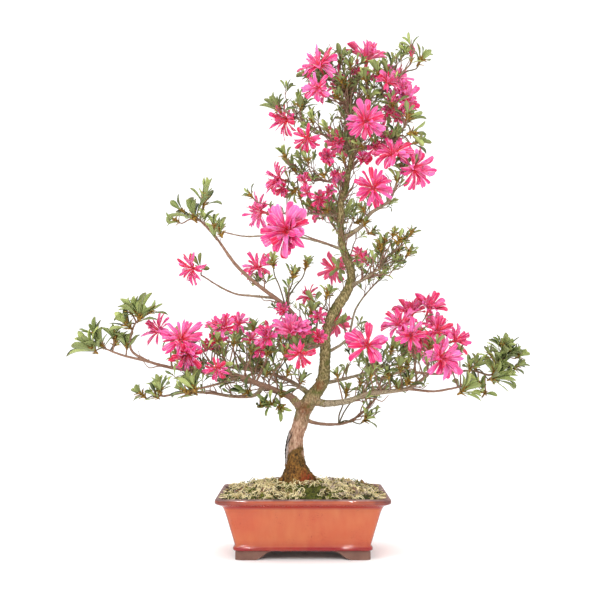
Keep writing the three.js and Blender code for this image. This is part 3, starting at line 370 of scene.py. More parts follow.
def smooth_path(points, step):
    """Points about a step apart on a smooth curve through the given points."""
    knots = [np.array(p, float) for p in points]
    knots = [2 * knots[0] - knots[1]] + knots + [2 * knots[-1] - knots[-2]]
    path = []
    for a, b, c, d in zip(knots, knots[1:], knots[2:], knots[3:]):
        gaps = (np.linalg.norm(q - p) for p, q in ((a, b), (b, c), (c, d)))
        # never zero, even where two knots meet
        before, span, after = (max(math.sqrt(gap), 1e-6) for gap in gaps)
        leave = ((b - a) / before - (c - a) / (before + span) + (c - b) / span) * span
        arrive = ((c - b) / span - (d - b) / (span + after) + (d - c) / after) * span
        count = max(1, round(float(np.linalg.norm(c - b)) / step))
        for t in np.arange(count) / count:
            path.append((2 * t**3 - 3 * t**2 + 1) * b + (t**3 - 2 * t**2 + t) * leave
                        + (3 * t**2 - 2 * t**3) * c + (t**3 - t**2) * arrive)
    path.append(knots[-2])
    return np.array(path)


def shares(path):
    """How far along its path each point lies, from 0 to 1."""
    gone = np.concatenate([[0], np.cumsum(np.linalg.norm(np.diff(path, axis=0), axis=1))])
    return gone / gone[-1]


def activate(*pieces):
    """Selects these pieces alone and makes the first one active."""
    bpy.ops.object.select_all(action="DESELECT")
    for piece in pieces:
        piece.select_set(True)
    bpy.context.view_layer.objects.active = pieces[0]


def grow_tubes(name, lines, materials, sides=1):
    """Stems as one mesh: each line is (points, radii, material number)."""
    curve = bpy.data.curves.new(name, "CURVE")
    curve.dimensions = "3D"
    # a radius of one metre, which each point's own radius scales
    curve.bevel_depth = 1
    curve.bevel_resolution = sides
    curve.use_fill_caps = True
    for material in materials:
        curve.materials.append(material)
    for points, radii, number in lines:
        spline = curve.splines.new("POLY")
        spline.points.add(len(points) - 1)
        spline.points.foreach_set("co", np.column_stack([points, np.ones(len(points))]).ravel())
        spline.points.foreach_set("radius", np.asarray(radii, float))
        spline.material_index = number
        spline.use_smooth = True
    stems = bpy.data.objects.new(name, curve)
    bpy.context.collection.objects.link(stems)
    activate(stems)
    bpy.ops.object.convert(target="MESH")
    return bpy.context.object


class Blade:
    """A leaf, petal or spike as modelled: points with x across, y along and z through it, and its faces."""

    def __init__(self, piece, is_round=False):
        mesh = piece.data
        self.points = np.array([v.co for v in mesh.vertices])
        self.faces = [tuple(p.vertices) for p in mesh.polygons]
        # 1 on the faces of the underside
        self.back = [float(p.normal.z < -0.3) for p in mesh.polygons]
        self.is_round = is_round
        bpy.data.objects.remove(piece)


def model_blade(name, across, rows, thickness, notch=0.0):
    """A flat blade one unit long and wide, along +Y. A row is (place along it, share of its full width)."""
    bpy.ops.mesh.primitive_grid_add(x_subdivisions=across, y_subdivisions=len(rows) - 1, size=1,
                                    location=(0, 0.5, 0))
    piece = bpy.context.object
    piece.name = name
    bpy.ops.object.transform_apply(location=True)
    bpy.ops.object.mode_set(mode="EDIT")
    bpy.ops.mesh.select_mode(type="VERT")

    def select(first, last):
        """Selects the points of the grid from first up to last."""
        bpy.ops.mesh.select_all(action="DESELECT")
        mesh = bmesh.from_edit_mesh(piece.data)
        mesh.verts.ensure_lookup_table()
        for vertex in mesh.verts[first:last]:
            vertex.select = True
        mesh.select_flush_mode()
        bmesh.update_edit_mesh(piece.data)

    for k, (along, width) in enumerate(rows):
        level = k / (len(rows) - 1)
        select(k * (across + 1), (k + 1) * (across + 1))
        bpy.ops.transform.resize(value=(width, 1, 1), center_override=(0, level, 0))
        bpy.ops.transform.translate(value=(0, along - level, 0))
    if notch:
        middle = (len(rows) - 1) * (across + 1) + across // 2
        select(middle, middle + 1)
        bpy.ops.transform.translate(value=(0, -notch, 0))
    bpy.ops.object.mode_set(mode="OBJECT")
    wall = piece.modifiers.new("Thickness", "SOLIDIFY")
    wall.thickness = thickness
    wall.offset = 0
    bpy.ops.object.modifier_apply(modifier=wall.name)
    return Blade(piece)


def model_spike(sides):
    """A slim cone along +Y, one unit long and one wide."""
    bpy.ops.mesh.primitive_cone_add(vertices=sides, radius1=0.5, radius2=0.0, depth=1,
                                    end_fill_type="TRIFAN", location=(0, 0.5, 0),
                                    rotation=(-math.pi / 2, 0, 0))
    spike = bpy.context.object
    bpy.ops.object.transform_apply(location=True, rotation=True)
    return Blade(spike, is_round=True)


# places along a blade at which its bend is worked out
BEND_STEPS = 25


class Gathering:
    """Blades laid one by one, which then become one mesh with their tint, side and material."""

    def __init__(self):
        self.points, self.faces, self.places, self.tints, self.backs, self.numbers = [], [], [], [], [], []
        self.total = 0

    def lay(self, blade, root, axis, out, length, width, lean, cup=0.0, wave=0.0, twist=0.0, tint=0.5,
            number=0):
        """Lays a blade that sets off along axis and leans towards out by lean(share along it), an angle."""
        axis, out = np.array(axis.normalized()), np.array(out.normalized())
        across = np.cross(axis, out)
        steps = np.linspace(0, 1, BEND_STEPS)
        angles = lean(steps)
        way = np.outer(np.cos(angles), axis) + np.outer(np.sin(angles), out)
        line = np.vstack([[0, 0, 0], np.cumsum((way[1:] + way[:-1]) / 2, axis=0) / (BEND_STEPS - 1)])
        x, y, z = blade.points.T
        angle = np.interp(y, steps, angles)
        middle = np.column_stack([np.interp(y, steps, line[:, k]) for k in range(3)]) * length
        face = np.outer(np.sin(angle), axis) - np.outer(np.cos(angle), out)
        side = np.tile(across, (len(x), 1))
        turn = (twist * y)[:, None]
        side, face = side * np.cos(turn) + face * np.sin(turn), face * np.cos(turn) - side * np.sin(turn)
        if blade.is_round:
            rise = z * width
        else:
            ripple = wave * np.sin(9 * y + 40 * tint + 1.4 * np.sign(x)) * (2 * x) ** 2 * y
            rise = (z + ripple) * length + cup * (2 * x) ** 2 * width
        self.points.append(np.array(root) + middle + side * (x * width)[:, None] + face * rise[:, None])
        self.faces += [tuple(v + self.total for v in f) for f in blade.faces]
        self.places += [(x[v] + 0.5, y[v]) for f in blade.faces for v in f]
        self.tints += [tint] * len(blade.faces)
        self.backs += blade.back
        self.numbers += [number] * len(blade.faces)
        self.total += len(x)

    def build(self, name, materials):
        """Makes one mesh piece of all that was laid."""
        mesh = bpy.data.meshes.new(name)
        mesh.from_pydata(np.vstack(self.points).tolist(), [], self.faces)
        for material in materials:
            mesh.materials.append(material)
        layer = mesh.uv_layers.new(name="Blade")
        layer.data.foreach_set("uv", np.array(self.places, np.float32).ravel())
        for title, values in (("tint", self.tints), ("back", self.backs)):
            stored = mesh.attributes.new(title, "FLOAT", "FACE")
            stored.data.foreach_set("value", np.array(values, np.float32))
        mesh.polygons.foreach_set("material_index", self.numbers)
        mesh.polygons.foreach_set("use_smooth", [True] * len(self.faces))
        mesh.update()
        piece = bpy.data.objects.new(name, mesh)
        bpy.context.collection.objects.link(piece)
        return piece


def join(name, *pieces):
    """Makes one piece of several, under a new name."""
    activate(*pieces)
    if len(pieces) > 1:
        bpy.ops.object.join()
    whole = bpy.context.object
    whole.name = whole.data.name = name
    return whole


def finish_piece(piece, slot, *nodes):
    """Gives a piece its body and hides the frame nodes that it stands for. The finish slot is not used."""
    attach(piece, "root")
    if nodes:
        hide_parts(*nodes)


def around(axis, angle):
    """The direction square to an axis at an angle round it."""
    first = axis.cross(UP if abs(axis.z) < 0.9 else Vector((1, 0, 0))).normalized()
    return first * math.cos(angle) + axis.cross(first) * math.sin(angle)


# ---- Materials ----

# a mix is one of colours, and a calculation multiplies, unless it is said otherwise
USUAL_OPTIONS = {"Mix": {"data_type": "RGBA"}, "Math": {"operation": "MULTIPLY"}}


def add(tree, kind, *values, out="", sockets=(), **options):
    """Adds a node with its options, fills its open sockets in order or by name, and gives an output."""
    made = tree.nodes.new("ShaderNode" + kind)
    for option, value in {**USUAL_OPTIONS.get(kind, {}), **options}.items():
        setattr(made, option, value)
    filled = list(zip((socket for socket in made.inputs if socket.enabled), values))
    filled += [(made.inputs[name], value) for name, value in dict(sockets).items()]
    for socket, value in filled:
        if isinstance(value, bpy.types.NodeSocket):
            tree.links.new(value, socket)
        else:
            socket.default_value = colour(value) if isinstance(value, str) else value
    return next((socket for socket in made.outputs if socket.enabled and out in ("", socket.name)), None)


def start_material(name, **constants):
    """A material with its surface shader, whose constants are set on the shader's own sockets."""
    material = bpy.data.materials.new(name)
    material.use_nodes = True
    tree = material.node_tree
    tree.nodes.clear()
    sockets = {constant.replace("_", " "): value for constant, value in constants.items()}
    surface = add(tree, "BsdfPrincipled", sockets=sockets).node
    add(tree, "OutputMaterial", surface.outputs[0])
    return material, tree, surface


def finish_surface(tree, surface, tone, height, depth, strength=0.7):
    """Gives a surface its colour and a relief so many metres deep."""
    tree.links.new(tone, surface.inputs["Base Color"])
    bump = add(tree, "Bump", sockets={"Strength": strength, "Distance": depth, "Height": height})
    tree.links.new(bump, surface.inputs["Normal"])


def cloud(tree, spot, scale, detail=4.0, stretch=(1, 1, 1)):
    """A cloudy pattern with so many features a metre."""
    drawn = add(tree, "Mapping", sockets={"Vector": spot, "Scale": stretch})
    return add(tree, "TexNoise", sockets={"Vector": drawn, "Scale": scale, "Detail": detail})


def near(tree, spot, centre, reach):
    """1 at a place, fading to 0 at reach metres from it."""
    gap = add(tree, "VectorMath", spot, centre, operation="DISTANCE")
    return add(tree, "MapRange", gap, reach * 0.45, reach, 1.0, 0.0)


def off_middle(tree, value, middle):
    """How far a value lies from its middle, to either side."""
    return add(tree, "Math", add(tree, "Math", value, middle, operation="SUBTRACT"), operation="ABSOLUTE")


def glaze_material():
    """Copper-red and orange glaze, fired glossy: orange where thick, brown where it breaks over edges."""
    pot = settings("bonsai_pot")
    material, tree, surface = start_material("glazed_stoneware_orange", Roughness=0.22, IOR=1.5,
                                             Coat_Weight=0.8, Coat_Roughness=0.06, Specular_IOR_Level=0.1)
    spot = add(tree, "TexCoord", out="Object")
    # vertical runs 3 to 15 mm wide, and wide drifts of redder glaze
    runs = cloud(tree, spot, 1.0, 6.0, (70, 70, 9))
    drifts = cloud(tree, spot, 16.0, 4.0)
    body = add(tree, "Mix", add(tree, "MapRange", runs, 0.36, 0.64, 0.0, 0.45), pot.glaze, "#B85230")
    drifted = add(tree, "Mix", add(tree, "MapRange", drifts, 0.48, 0.68, 0.0, 0.45), body, "#BC4A2C")
    # the melt gathers red on the foot bead and fades out above it, in patches of 30 mm
    high = add(tree, "SeparateXYZ", spot, out="Z")
    foot_line = add(tree, "MapRange", high, 0.017, 0.0205, 1.0, 0.2)
    above_foot = add(tree, "MapRange", high, 0.02, 0.034, 0.5, 0.0)
    foot_band = add(tree, "Math", foot_line, above_foot, operation="MAXIMUM")
    uneven = add(tree, "MapRange", cloud(tree, spot, 30.0, 3.0), 0.35, 0.6, 0.75, 1.0)
    foot_red = add(tree, "Math", foot_band, uneven)
    # and below the lip, where the red is partly gathered melt and partly painted shade under the lip's
    # overhang
    neck_foot = add(tree, "MapRange", high, 0.069, 0.0735)
    neck_top = add(tree, "MapRange", high, 0.0765, 0.081, 0.9, 0.35)
    neck_red_and_shade = add(tree, "Math", neck_foot, neck_top)
    gathered_and_shaded = add(tree, "Math", foot_red, neck_red_and_shade, operation="MAXIMUM")
    reddened = add(tree, "Mix", gathered_and_shaded, drifted, pot.glaze_red)
    # iron specks of 1 to 2 mm, in drifts 30 mm wide
    dots = add(tree, "MapRange", cloud(tree, spot, 900.0, 2.0), 0.62, 0.72)
    dotted = add(tree, "MapRange", cloud(tree, spot, 30.0, 2.0), 0.48, 0.6, 0.0, 0.9)
    specks = add(tree, "Math", dots, dotted)
    speckled = add(tree, "Mix", specks, reddened, "#6E2A1E")
    # the glaze also runs thin over both ends of the lip
    across = add(tree, "SeparateXYZ", spot, out="X")
    towards_end = add(tree, "MapRange", off_middle(tree, across, POT.x), 0.07, 0.112, 0.3, 0.95)
    on_lip = add(tree, "MapRange", high, 0.0765, 0.0795)
    lip_ends = add(tree, "Math", towards_end, on_lip)
    worn = add(tree, "Attribute", out="Fac", attribute_name="thin")
    thin = add(tree, "Math", worn, lip_ends, operation="MAXIMUM")
    ragged = add(tree, "MapRange", cloud(tree, spot, 90.0, 4.0), 0.3, 0.6, 0.55, 1.0)
    broken = add(tree, "Mix", add(tree, "Math", thin, ragged), speckled, pot.glaze_edge)
    finish_surface(tree, surface, broken, cloud(tree, spot, 70.0, 2.0), 0.0015, 0.05)
    return material


def rim_material():
    """Glaze wiped thin on top of the rim: satin, taupe over the brown clay."""
    material, tree, surface = start_material("wiped_rim_glaze", Roughness=0.6, IOR=1.5,
                                             Specular_IOR_Level=0.12)
    spot = add(tree, "TexCoord", out="Object")
    # smears about 14 mm long
    smears = add(tree, "MapRange", cloud(tree, spot, 70.0, 5.0), 0.35, 0.65)
    tone = add(tree, "Mix", smears, "#6A4A48", "#94746E")
    finish_surface(tree, surface, tone, cloud(tree, spot, 500.0, 3.0), 0.0004, 0.3)
    return material


def clay_material():
    """Unglazed stoneware, fired brown: matt, with fine grog of about 1 mm."""
    material, tree, surface = start_material("bare_stoneware", Roughness=0.82, IOR=1.5)
    spot = add(tree, "TexCoord", out="Object")
    # fired unevenly, in patches of about 22 mm
    patches = add(tree, "MapRange", cloud(tree, spot, 45.0, 6.0), 0.3, 0.7)
    tone = add(tree, "Mix", patches, "#6A4A40", settings("bonsai_pot").clay)
    finish_surface(tree, surface, tone, cloud(tree, spot, 900.0, 3.0), 0.0006, 0.4)
    return material


def mesh_material():
    """Black polyethylene drain net, moulded: a grid of 3 mm holes, drawn as dark squares."""
    material, tree, surface = start_material("drain_net_polyethylene", Roughness=0.55, IOR=1.5)
    squares = add(tree, "TexBrick", offset=0.0, sockets={
        "Vector": add(tree, "TexCoord", out="Object"), "Color1": "#0A0B0B",
        "Color2": "#0C0D0D", "Mortar": "#303436", "Scale": 330.0, "Mortar Size": 0.18,
        "Brick Width": 1.0, "Row Height": 1.0})
    finish_surface(tree, surface, squares, squares.node.outputs["Fac"], 0.0008, 1.0)
    return material


def grain_material(name, dark, light, grain, depth=0.0, roughness=0.9):
    """Something living or loose in two tones, whose grain is so many metres across."""
    made = bpy.data.materials.get(name)
    if made:
        return made
    material, tree, surface = start_material(name, Roughness=roughness, IOR=1.45)
    grains = cloud(tree, add(tree, "TexCoord", out="Object"), 1 / grain)
    tone = add(tree, "Mix", add(tree, "MapRange", grains, 0.35, 0.65), dark, light)
    if depth:
        finish_surface(tree, surface, tone, grains, depth, 0.8)
    else:
        tree.links.new(tone, surface.inputs["Base Color"])
    return material


def bark_material(name="azalea_twig_bark"):
    """Azalea bark of twigs, thin and red-brown. On branches it greys towards the trunk, with some lichen."""
    made = bpy.data.materials.get(name)
    if made:
        return made
    material, tree, surface = start_material(name, Roughness=0.85, IOR=1.45, Specular_IOR_Level=0.3)
    spot = add(tree, "TexCoord", out="Object")
    # plates about 2 mm across
    plates = cloud(tree, spot, 620.0, 6.0)
    twig = settings("bonsai_tree").twig
    bark = add(tree, "Mix", add(tree, "MapRange", plates, 0.3, 0.66), "#765444", twig)
    if name == "azalea_branch_bark":
        grey = add(tree, "Mix", add(tree, "MapRange", plates, 0.36, 0.6), "#6A5C48", "#A89A80")
        across = add(tree, "SeparateXYZ", spot, out="X")
        gap = off_middle(tree, across, place(30, 0, 0).x)
        patchy = add(tree, "Math", cloud(tree, spot, 22.0, 3.0), 0.16, gap, operation="MULTIPLY_ADD")
        bark = add(tree, "Mix", add(tree, "MapRange", patchy, 0.13, 0.25), grey, bark)
        # lichen in spots up to 18 mm wide
        lichen = add(tree, "MapRange", cloud(tree, spot, 55.0, 5.0), 0.6, 0.68, 0.0, 0.6)
        bark = add(tree, "Mix", lichen, bark, "#5F6230")
    finish_surface(tree, surface, bark, plates, 0.001)
    return material


def trunk_material():
    """Trunk bark: pinkish tan and flaking low down, grey-olive above, brown-orange moss at the foot."""
    wood = settings("bonsai_tree")
    material, tree, surface = start_material("azalea_trunk_bark", Roughness=0.9, IOR=1.45)
    spot = add(tree, "TexCoord", out="Object")
    high = add(tree, "SeparateXYZ", spot, out="Z")
    drifts = cloud(tree, spot, 70.0, 5.0)
    # plates 2 to 3 mm wide and 8 mm long
    plates = cloud(tree, spot, 1.0, 7.0, (380, 380, 120))
    low_dark = add(tree, "Mix", add(tree, "MapRange", plates, 0.3, 0.48), "#60402F", wood.bark_low)
    low = add(tree, "Mix", add(tree, "MapRange", plates, 0.5, 0.66), low_dark, "#C6A68E")
    # higher up the bark is finer, about a millimetre and a half
    grain = cloud(tree, spot, 1.0, 7.0, (640, 640, 260))
    top_dark = add(tree, "Mix", add(tree, "MapRange", grain, 0.32, 0.5), "#362F18", wood.bark_high)
    top = add(tree, "Mix", add(tree, "MapRange", grain, 0.52, 0.66), top_dark, "#B8A87A")
    ragged = add(tree, "Math", drifts, 0.075, high, operation="MULTIPLY_ADD")
    bark = add(tree, "Mix", add(tree, "MapRange", ragged, 0.212, 0.258), low, top)
    # green algae in drifts on the old bark
    drifted = add(tree, "MapRange", drifts, 0.54, 0.62, 0.0, 0.65)
    upper = add(tree, "MapRange", ragged, 0.192, 0.24)
    green = add(tree, "Math", drifted, upper)
    mossy = add(tree, "Mix", green, bark, "#52591F")
    # painted shade: the flanks, turned to either side, are darkened olive
    facing = add(tree, "NewGeometry", out="Normal")
    flank = add(tree, "Math", add(tree, "SeparateXYZ", facing, out="X"), operation="ABSOLUTE")
    turned = add(tree, "MapRange", flank, 0.5, 0.95, 0.0, 0.6)
    above = add(tree, "MapRange", ragged, 0.2, 0.25)
    flank_shade = add(tree, "Math", turned, above)
    flank_shaded = add(tree, "Mix", flank_shade, mossy, "#443F1A")
    # old wounds: the callus round a cut stays reddish brown
    scars = add(tree, "Math", near(tree, spot, place(2, -6, 203), 0.013),
                near(tree, spot, place(24, -2, 236), 0.01), operation="MAXIMUM")
    flaking = add(tree, "MapRange", plates, 0.3, 0.55, 0.9, 0.35)
    scarred = add(tree, "Mix", add(tree, "Math", scars, flaking), flank_shaded, "#7A3A22")
    # brown and orange moss on the foot, in tufts of about 2 mm, with a dark olive upper edge
    foot = add(tree, "MapRange", ragged, 0.174, 0.184, 1.0, 0.0)
    coarse = add(tree, "Math", plates, 0.5)
    fine = add(tree, "Math", cloud(tree, spot, 420.0, 4.0), 0.5)
    tufted = add(tree, "MapRange", add(tree, "Math", coarse, fine, operation="ADD"), 0.38, 0.6)
    mat = add(tree, "Mix", tufted, "#160E04", "#A06E30")
    edged = add(tree, "Mix", add(tree, "MapRange", ragged, 0.156, 0.174, 0.0, 0.6), mat, "#3A3212")
    # a rusty patch lies on its right
    patch = near(tree, spot, place(10, -19, 104), 0.019)
    broken = add(tree, "MapRange", cloud(tree, spot, 260.0, 4.0), 0.42, 0.56, 0.1, 0.9)
    rusty = add(tree, "Mix", add(tree, "Math", patch, broken), edged, "#9A3416")
    finish_surface(tree, surface, add(tree, "Mix", foot, scarred, rusty), plates, 0.0016, 0.8)
    return material


def blade_marks(tree):
    """How far across and along its blade a point lies, from 0 to 1, and the blade's tint and side."""
    across, along = add(tree, "SeparateXYZ", add(tree, "UVMap", uv_map="Blade")).node.outputs[:2]
    tint, back = (add(tree, "Attribute", out="Fac", attribute_name=name) for name in ("tint", "back"))
    return across, along, tint, back


def petal_material():
    """Azalea petal: soft satin cells, coral throat, hot pink blade, pale streaks along it that are partly
    painted highlight, lighter back.
    """
    made = bpy.data.materials.get("azalea_petal")
    if made:
        return made
    flower = settings("bonsai_tree")
    material, tree, surface = start_material("azalea_petal", Roughness=0.6, IOR=1.38, Specular_IOR_Level=0.35,
                                             Subsurface_Weight=0.25, Subsurface_Scale=0.002)
    across, along, tint, back = blade_marks(tree)
    # each petal between a deep crimson and a light magenta; the crimson end also carries painted shade on
    # flowers that face down or sit in shade
    deep_and_shaded = add(tree, "Mix", add(tree, "MapRange", tint, 0.0, 0.45), "#D42450", flower.petal)
    blade = add(tree, "Mix", add(tree, "MapRange", tint, 0.55, 1.0), deep_and_shaded, "#F070B4")
    throat = add(tree, "MapRange", along, 0.14, 0.56, 0.95, 0.0)
    throated = add(tree, "Mix", throat, blade, flower.throat)
    # pale streaks follow the veins, a millimetre or so apart, and the edges are pale too; both are partly the
    # petal's own veining and partly painted highlight
    drawn = add(tree, "CombineXYZ", add(tree, "Math", across, 6.0), add(tree, "Math", along, 1.3),
                add(tree, "Math", tint, 60.0))
    veins = add(tree, "TexNoise", sockets={"Vector": drawn, "Scale": 1.0, "Detail": 3.0})
    edges = add(tree, "MapRange", off_middle(tree, across, 0.5), 0.34, 0.5, 0.0, 0.7)
    pale = add(tree, "Math", add(tree, "MapRange", veins, 0.53, 0.66, 0.0, 0.9), edges, operation="MAXIMUM")
    past_throat = add(tree, "MapRange", along, 0.16, 0.4)
    before_tip = add(tree, "MapRange", along, 0.75, 1.0, 1.0, 0.4)
    middle = add(tree, "Math", past_throat, before_tip)
    veined_and_highlighted = add(tree, "Mix", add(tree, "Math", pale, middle), throated, "#FBB4D8")
    turned = add(tree, "Mix", add(tree, "Math", back, 0.5), veined_and_highlighted, "#E4647C")
    finish_surface(tree, surface, turned, veins, 0.0008, 0.5)
    return material


def leaf_material():
    """Azalea leaf: leathery, satin above, paler grey-green below, pale midrib; young leaves are lime."""
    made = bpy.data.materials.get("azalea_leaf")
    if made:
        return made
    leaf = settings("bonsai_tree")
    material, tree, surface = start_material("azalea_leaf", Roughness=0.42, IOR=1.42,
                                             Specular_IOR_Level=0.3)
    across, along, tint, back = blade_marks(tree)
    older = add(tree, "Mix", add(tree, "MapRange", tint, 0.0, 0.5), leaf.leaf_old, "#687A3A")
    blade = add(tree, "Mix", add(tree, "MapRange", tint, 0.5, 1.0), older, leaf.leaf_young)
    midrib = add(tree, "MapRange", off_middle(tree, across, 0.5), 0.0, 0.09, 0.5, 0.0)
    # a painted highlight lightens the blade towards one side, and the tip reddens a little
    lit = add(tree, "Mix", add(tree, "MapRange", across, 0.3, 0.9, 0.0, 0.3), blade, "#C8D090")
    ribbed = add(tree, "Mix", midrib, lit, "#A6AE7C")
    tipped = add(tree, "Mix", add(tree, "MapRange", along, 0.86, 1.0, 0.0, 0.4), ribbed, "#7A5A2A")
    turned = add(tree, "Mix", add(tree, "Math", back, 0.55), tipped, "#96A064")
    # the midrib lies a little sunken
    blade_height = add(tree, "Math", 1.0, midrib, operation="SUBTRACT")
    finish_surface(tree, surface, turned, blade_height, 0.0006, 0.5)
    return material


def stem_material():
    """Young azalea stem: green, browning as it ages."""
    return grain_material("azalea_green_stem", "#4C4A2A", "#6E5A44", 0.006, roughness=0.7)


def scale_material():
    """Papery bud scales, ochre to red-brown."""
    return grain_material("azalea_bud_scale", "#5A3814", "#B08A30", 0.003, roughness=0.6)


# ---- Pot ----

# (height, half width) up the outside: bead above the feet, flaring wall, hollow neck, rounded lip
POT_WALL = [
    (12.6, 94.6), (13.6, 95.7), (15.2, 96.2), (17, 96), (18.6, 95), (19.8, 94.1), (21, 94.1), (30, 96.5),
    (45, 100.8), (58, 104.4), (67, 107.2), (71.5, 109), (74.2, 111.2), (76, 114), (77.2, 117),
    (78.2, 118.9), (79.6, 119.9), (81.6, 120), (83.4, 119.6), (84.6, 118.8), (85, 117.6),
]
# and back down the inside to the floor
POT_INSIDE = [
    (85, 113.6), (84.4, 112), (82.6, 111), (76, 109.4), (60, 104.2), (36, 95.2), (22, 89), (19, 87),
]
# how much less the half depth is than the half width
DEPTH_LESS = 30
CORNER_SEGMENTS = 7
LIP_HEIGHT = 85
DRAIN_RADIUS = 11
DRAIN_PLACE = 45
# half the width and depth over the feet
FOOT_HALF = (93, 63)
FOOT_HEIGHT = 12
FOOT_WALL = 14
FOOT_CORNER = 8
# how far from the corner a foot ends on the ground and under the wall, along the front and along the side
FOOT_GROUND = (28, 24)
FOOT_TOP = (51, 36)


class RingTurner:
    """Draws a rounded rectangle upwards ring by ring, in edit mode."""

    def __init__(self, half, height, corner):
        bpy.ops.mesh.primitive_plane_add(size=2, location=place(0, 0, height))
        self.piece = bpy.context.object
        self.piece.scale = (half * MM, (half - DEPTH_LESS) * MM, 1)
        bpy.ops.object.transform_apply(location=True, scale=True)
        bpy.ops.object.mode_set(mode="EDIT")
        bpy.ops.mesh.select_all(action="SELECT")
        bpy.ops.mesh.bevel(offset=corner * MM, segments=CORNER_SEGMENTS, affect="VERTICES")
        bpy.ops.mesh.select_mode(type="FACE")
        bpy.ops.mesh.select_all(action="SELECT")
        self.half, self.height = half, height

    def go(self, half, height):
        """Draws the wall on to a height at which it is so much wide from the middle."""
        rise = (0, 0, (height - self.height) * MM)
        bpy.ops.mesh.extrude_region_move(TRANSFORM_OT_translate={"value": rise})
        grow = (half / self.half, (half - DEPTH_LESS) / (self.half - DEPTH_LESS), 1)
        bpy.ops.transform.resize(value=grow, center_override=place(0, 0, height))
        self.half, self.height = half, height


def pot_body():
    """The glazed body, turned up the outside, over the lip and down the inside, with its drain holes."""
    turner = RingTurner(FOOT_HALF[0], FOOT_HEIGHT, FOOT_CORNER)
    for height, half in POT_WALL + POT_INSIDE:
        turner.go(half, height)
    bpy.ops.object.mode_set(mode="OBJECT")
    body = turner.piece
    for side in (-1, 1):
        bpy.ops.mesh.primitive_cylinder_add(vertices=48, radius=DRAIN_RADIUS * MM, depth=20 * MM,
                                            location=place(DRAIN_PLACE * side, 0, 15))
        drill = bpy.context.object
        hole = body.modifiers.new("Drain", "BOOLEAN")
        hole.object = drill
        hole.solver = "EXACT"
        activate(body)
        bpy.ops.object.modifier_apply(modifier=hole.name)
        bpy.data.objects.remove(drill)
    return body


def pot_foot(sign_x, sign_y):
    """One corner foot: a bar bent round the corner, whose two ends rise in an ogee under the wall."""
    bpy.ops.mesh.primitive_cube_add(size=1, location=(0.5, 0.5, 0.5))
    foot = bpy.context.object
    bpy.ops.object.transform_apply(location=True)
    bpy.ops.object.mode_set(mode="EDIT")
    bpy.ops.mesh.select_mode(type="EDGE")
    bpy.ops.mesh.select_all(action="DESELECT")
    mesh = bmesh.from_edit_mesh(foot.data)
    for edge in mesh.edges:
        edge.select = abs(edge.verts[0].co.x - edge.verts[1].co.x) > 0.5
    bmesh.update_edit_mesh(foot.data)
    bpy.ops.mesh.subdivide(number_cuts=57)
    bpy.ops.object.mode_set(mode="OBJECT")
    front, side = FOOT_TOP
    for vertex in foot.data.vertices:
        along, inward, up = vertex.co
        # measured from the corner: negative along the side, positive along the front
        reach = -side + along * (front + side)
        far, end = abs(reach), 0 if reach > 0 else 1
        turn = math.pi / 4 * (1 + max(-1, min(1, reach / FOOT_CORNER)))
        outer = (max(FOOT_CORNER, reach) - FOOT_CORNER * math.sin(math.pi / 2 - turn),
                 max(FOOT_CORNER, -reach) - FOOT_CORNER * math.sin(turn))
        inner = (max(reach, FOOT_WALL), max(-reach, FOOT_WALL))
        rise = max(0, min(1, (far - FOOT_GROUND[end]) / (FOOT_TOP[end] - FOOT_GROUND[end])))
        ogee = 2 * rise**2 if rise < 0.5 else 1 - 2 * (1 - rise) ** 2
        bottom = (0.35 * rise**0.6 + 0.65 * ogee) * FOOT_HEIGHT if rise else 0
        x, y = (outer[k] + (inner[k] - outer[k]) * inward for k in (0, 1))
        vertex.co = place(sign_x * (FOOT_HALF[0] - x), sign_y * (FOOT_HALF[1] - y),
                          bottom + up * (FOOT_HEIGHT + 0.7 - bottom))
    activate(foot)
    bpy.ops.object.mode_set(mode="EDIT")
    bpy.ops.mesh.select_all(action="SELECT")
    bpy.ops.mesh.remove_doubles(threshold=0.02 * MM)
    bpy.ops.mesh.normals_make_consistent(inside=False)
    bpy.ops.object.mode_set(mode="OBJECT")
    return foot


# where the glaze breaks: the angle round a corner, how far it goes on either side, and two heights
WORN_TURN, WORN_REACH = 1.12, 0.44
RIM_HEIGHT, BEAD_HEIGHT = 83.2, 12.4


def wear(spot):
    """How thin the glaze has run at a place of the pot, from 0 to 1."""
    half = float(np.interp(spot.z, [h for h, _ in POT_WALL], [w for _, w in POT_WALL]))
    curve_x, curve_y = FOOT_CORNER * half / FOOT_HALF[0], FOOT_CORNER * (half - DEPTH_LESS) / FOOT_HALF[1]
    out_x = max(0.0, (abs(spot.x) - half) / curve_x + 1)
    out_y = max(0.0, (abs(spot.y) - half + DEPTH_LESS) / curve_y + 1)
    # each corner is worn on the edge that is turned to the side
    on_corner = max(0.0, 1 - abs(math.atan2(out_x, out_y) - WORN_TURN) / WORN_REACH)
    on_rim = max(0.0, min(1.0, (spot.z - RIM_HEIGHT) / 1.2))
    on_bead = max(0.0, 1 - abs(spot.z - BEAD_HEIGHT) / 1.5)
    return min(1.0, 0.85 * on_corner + 0.8 * on_rim + 0.8 * on_bead)


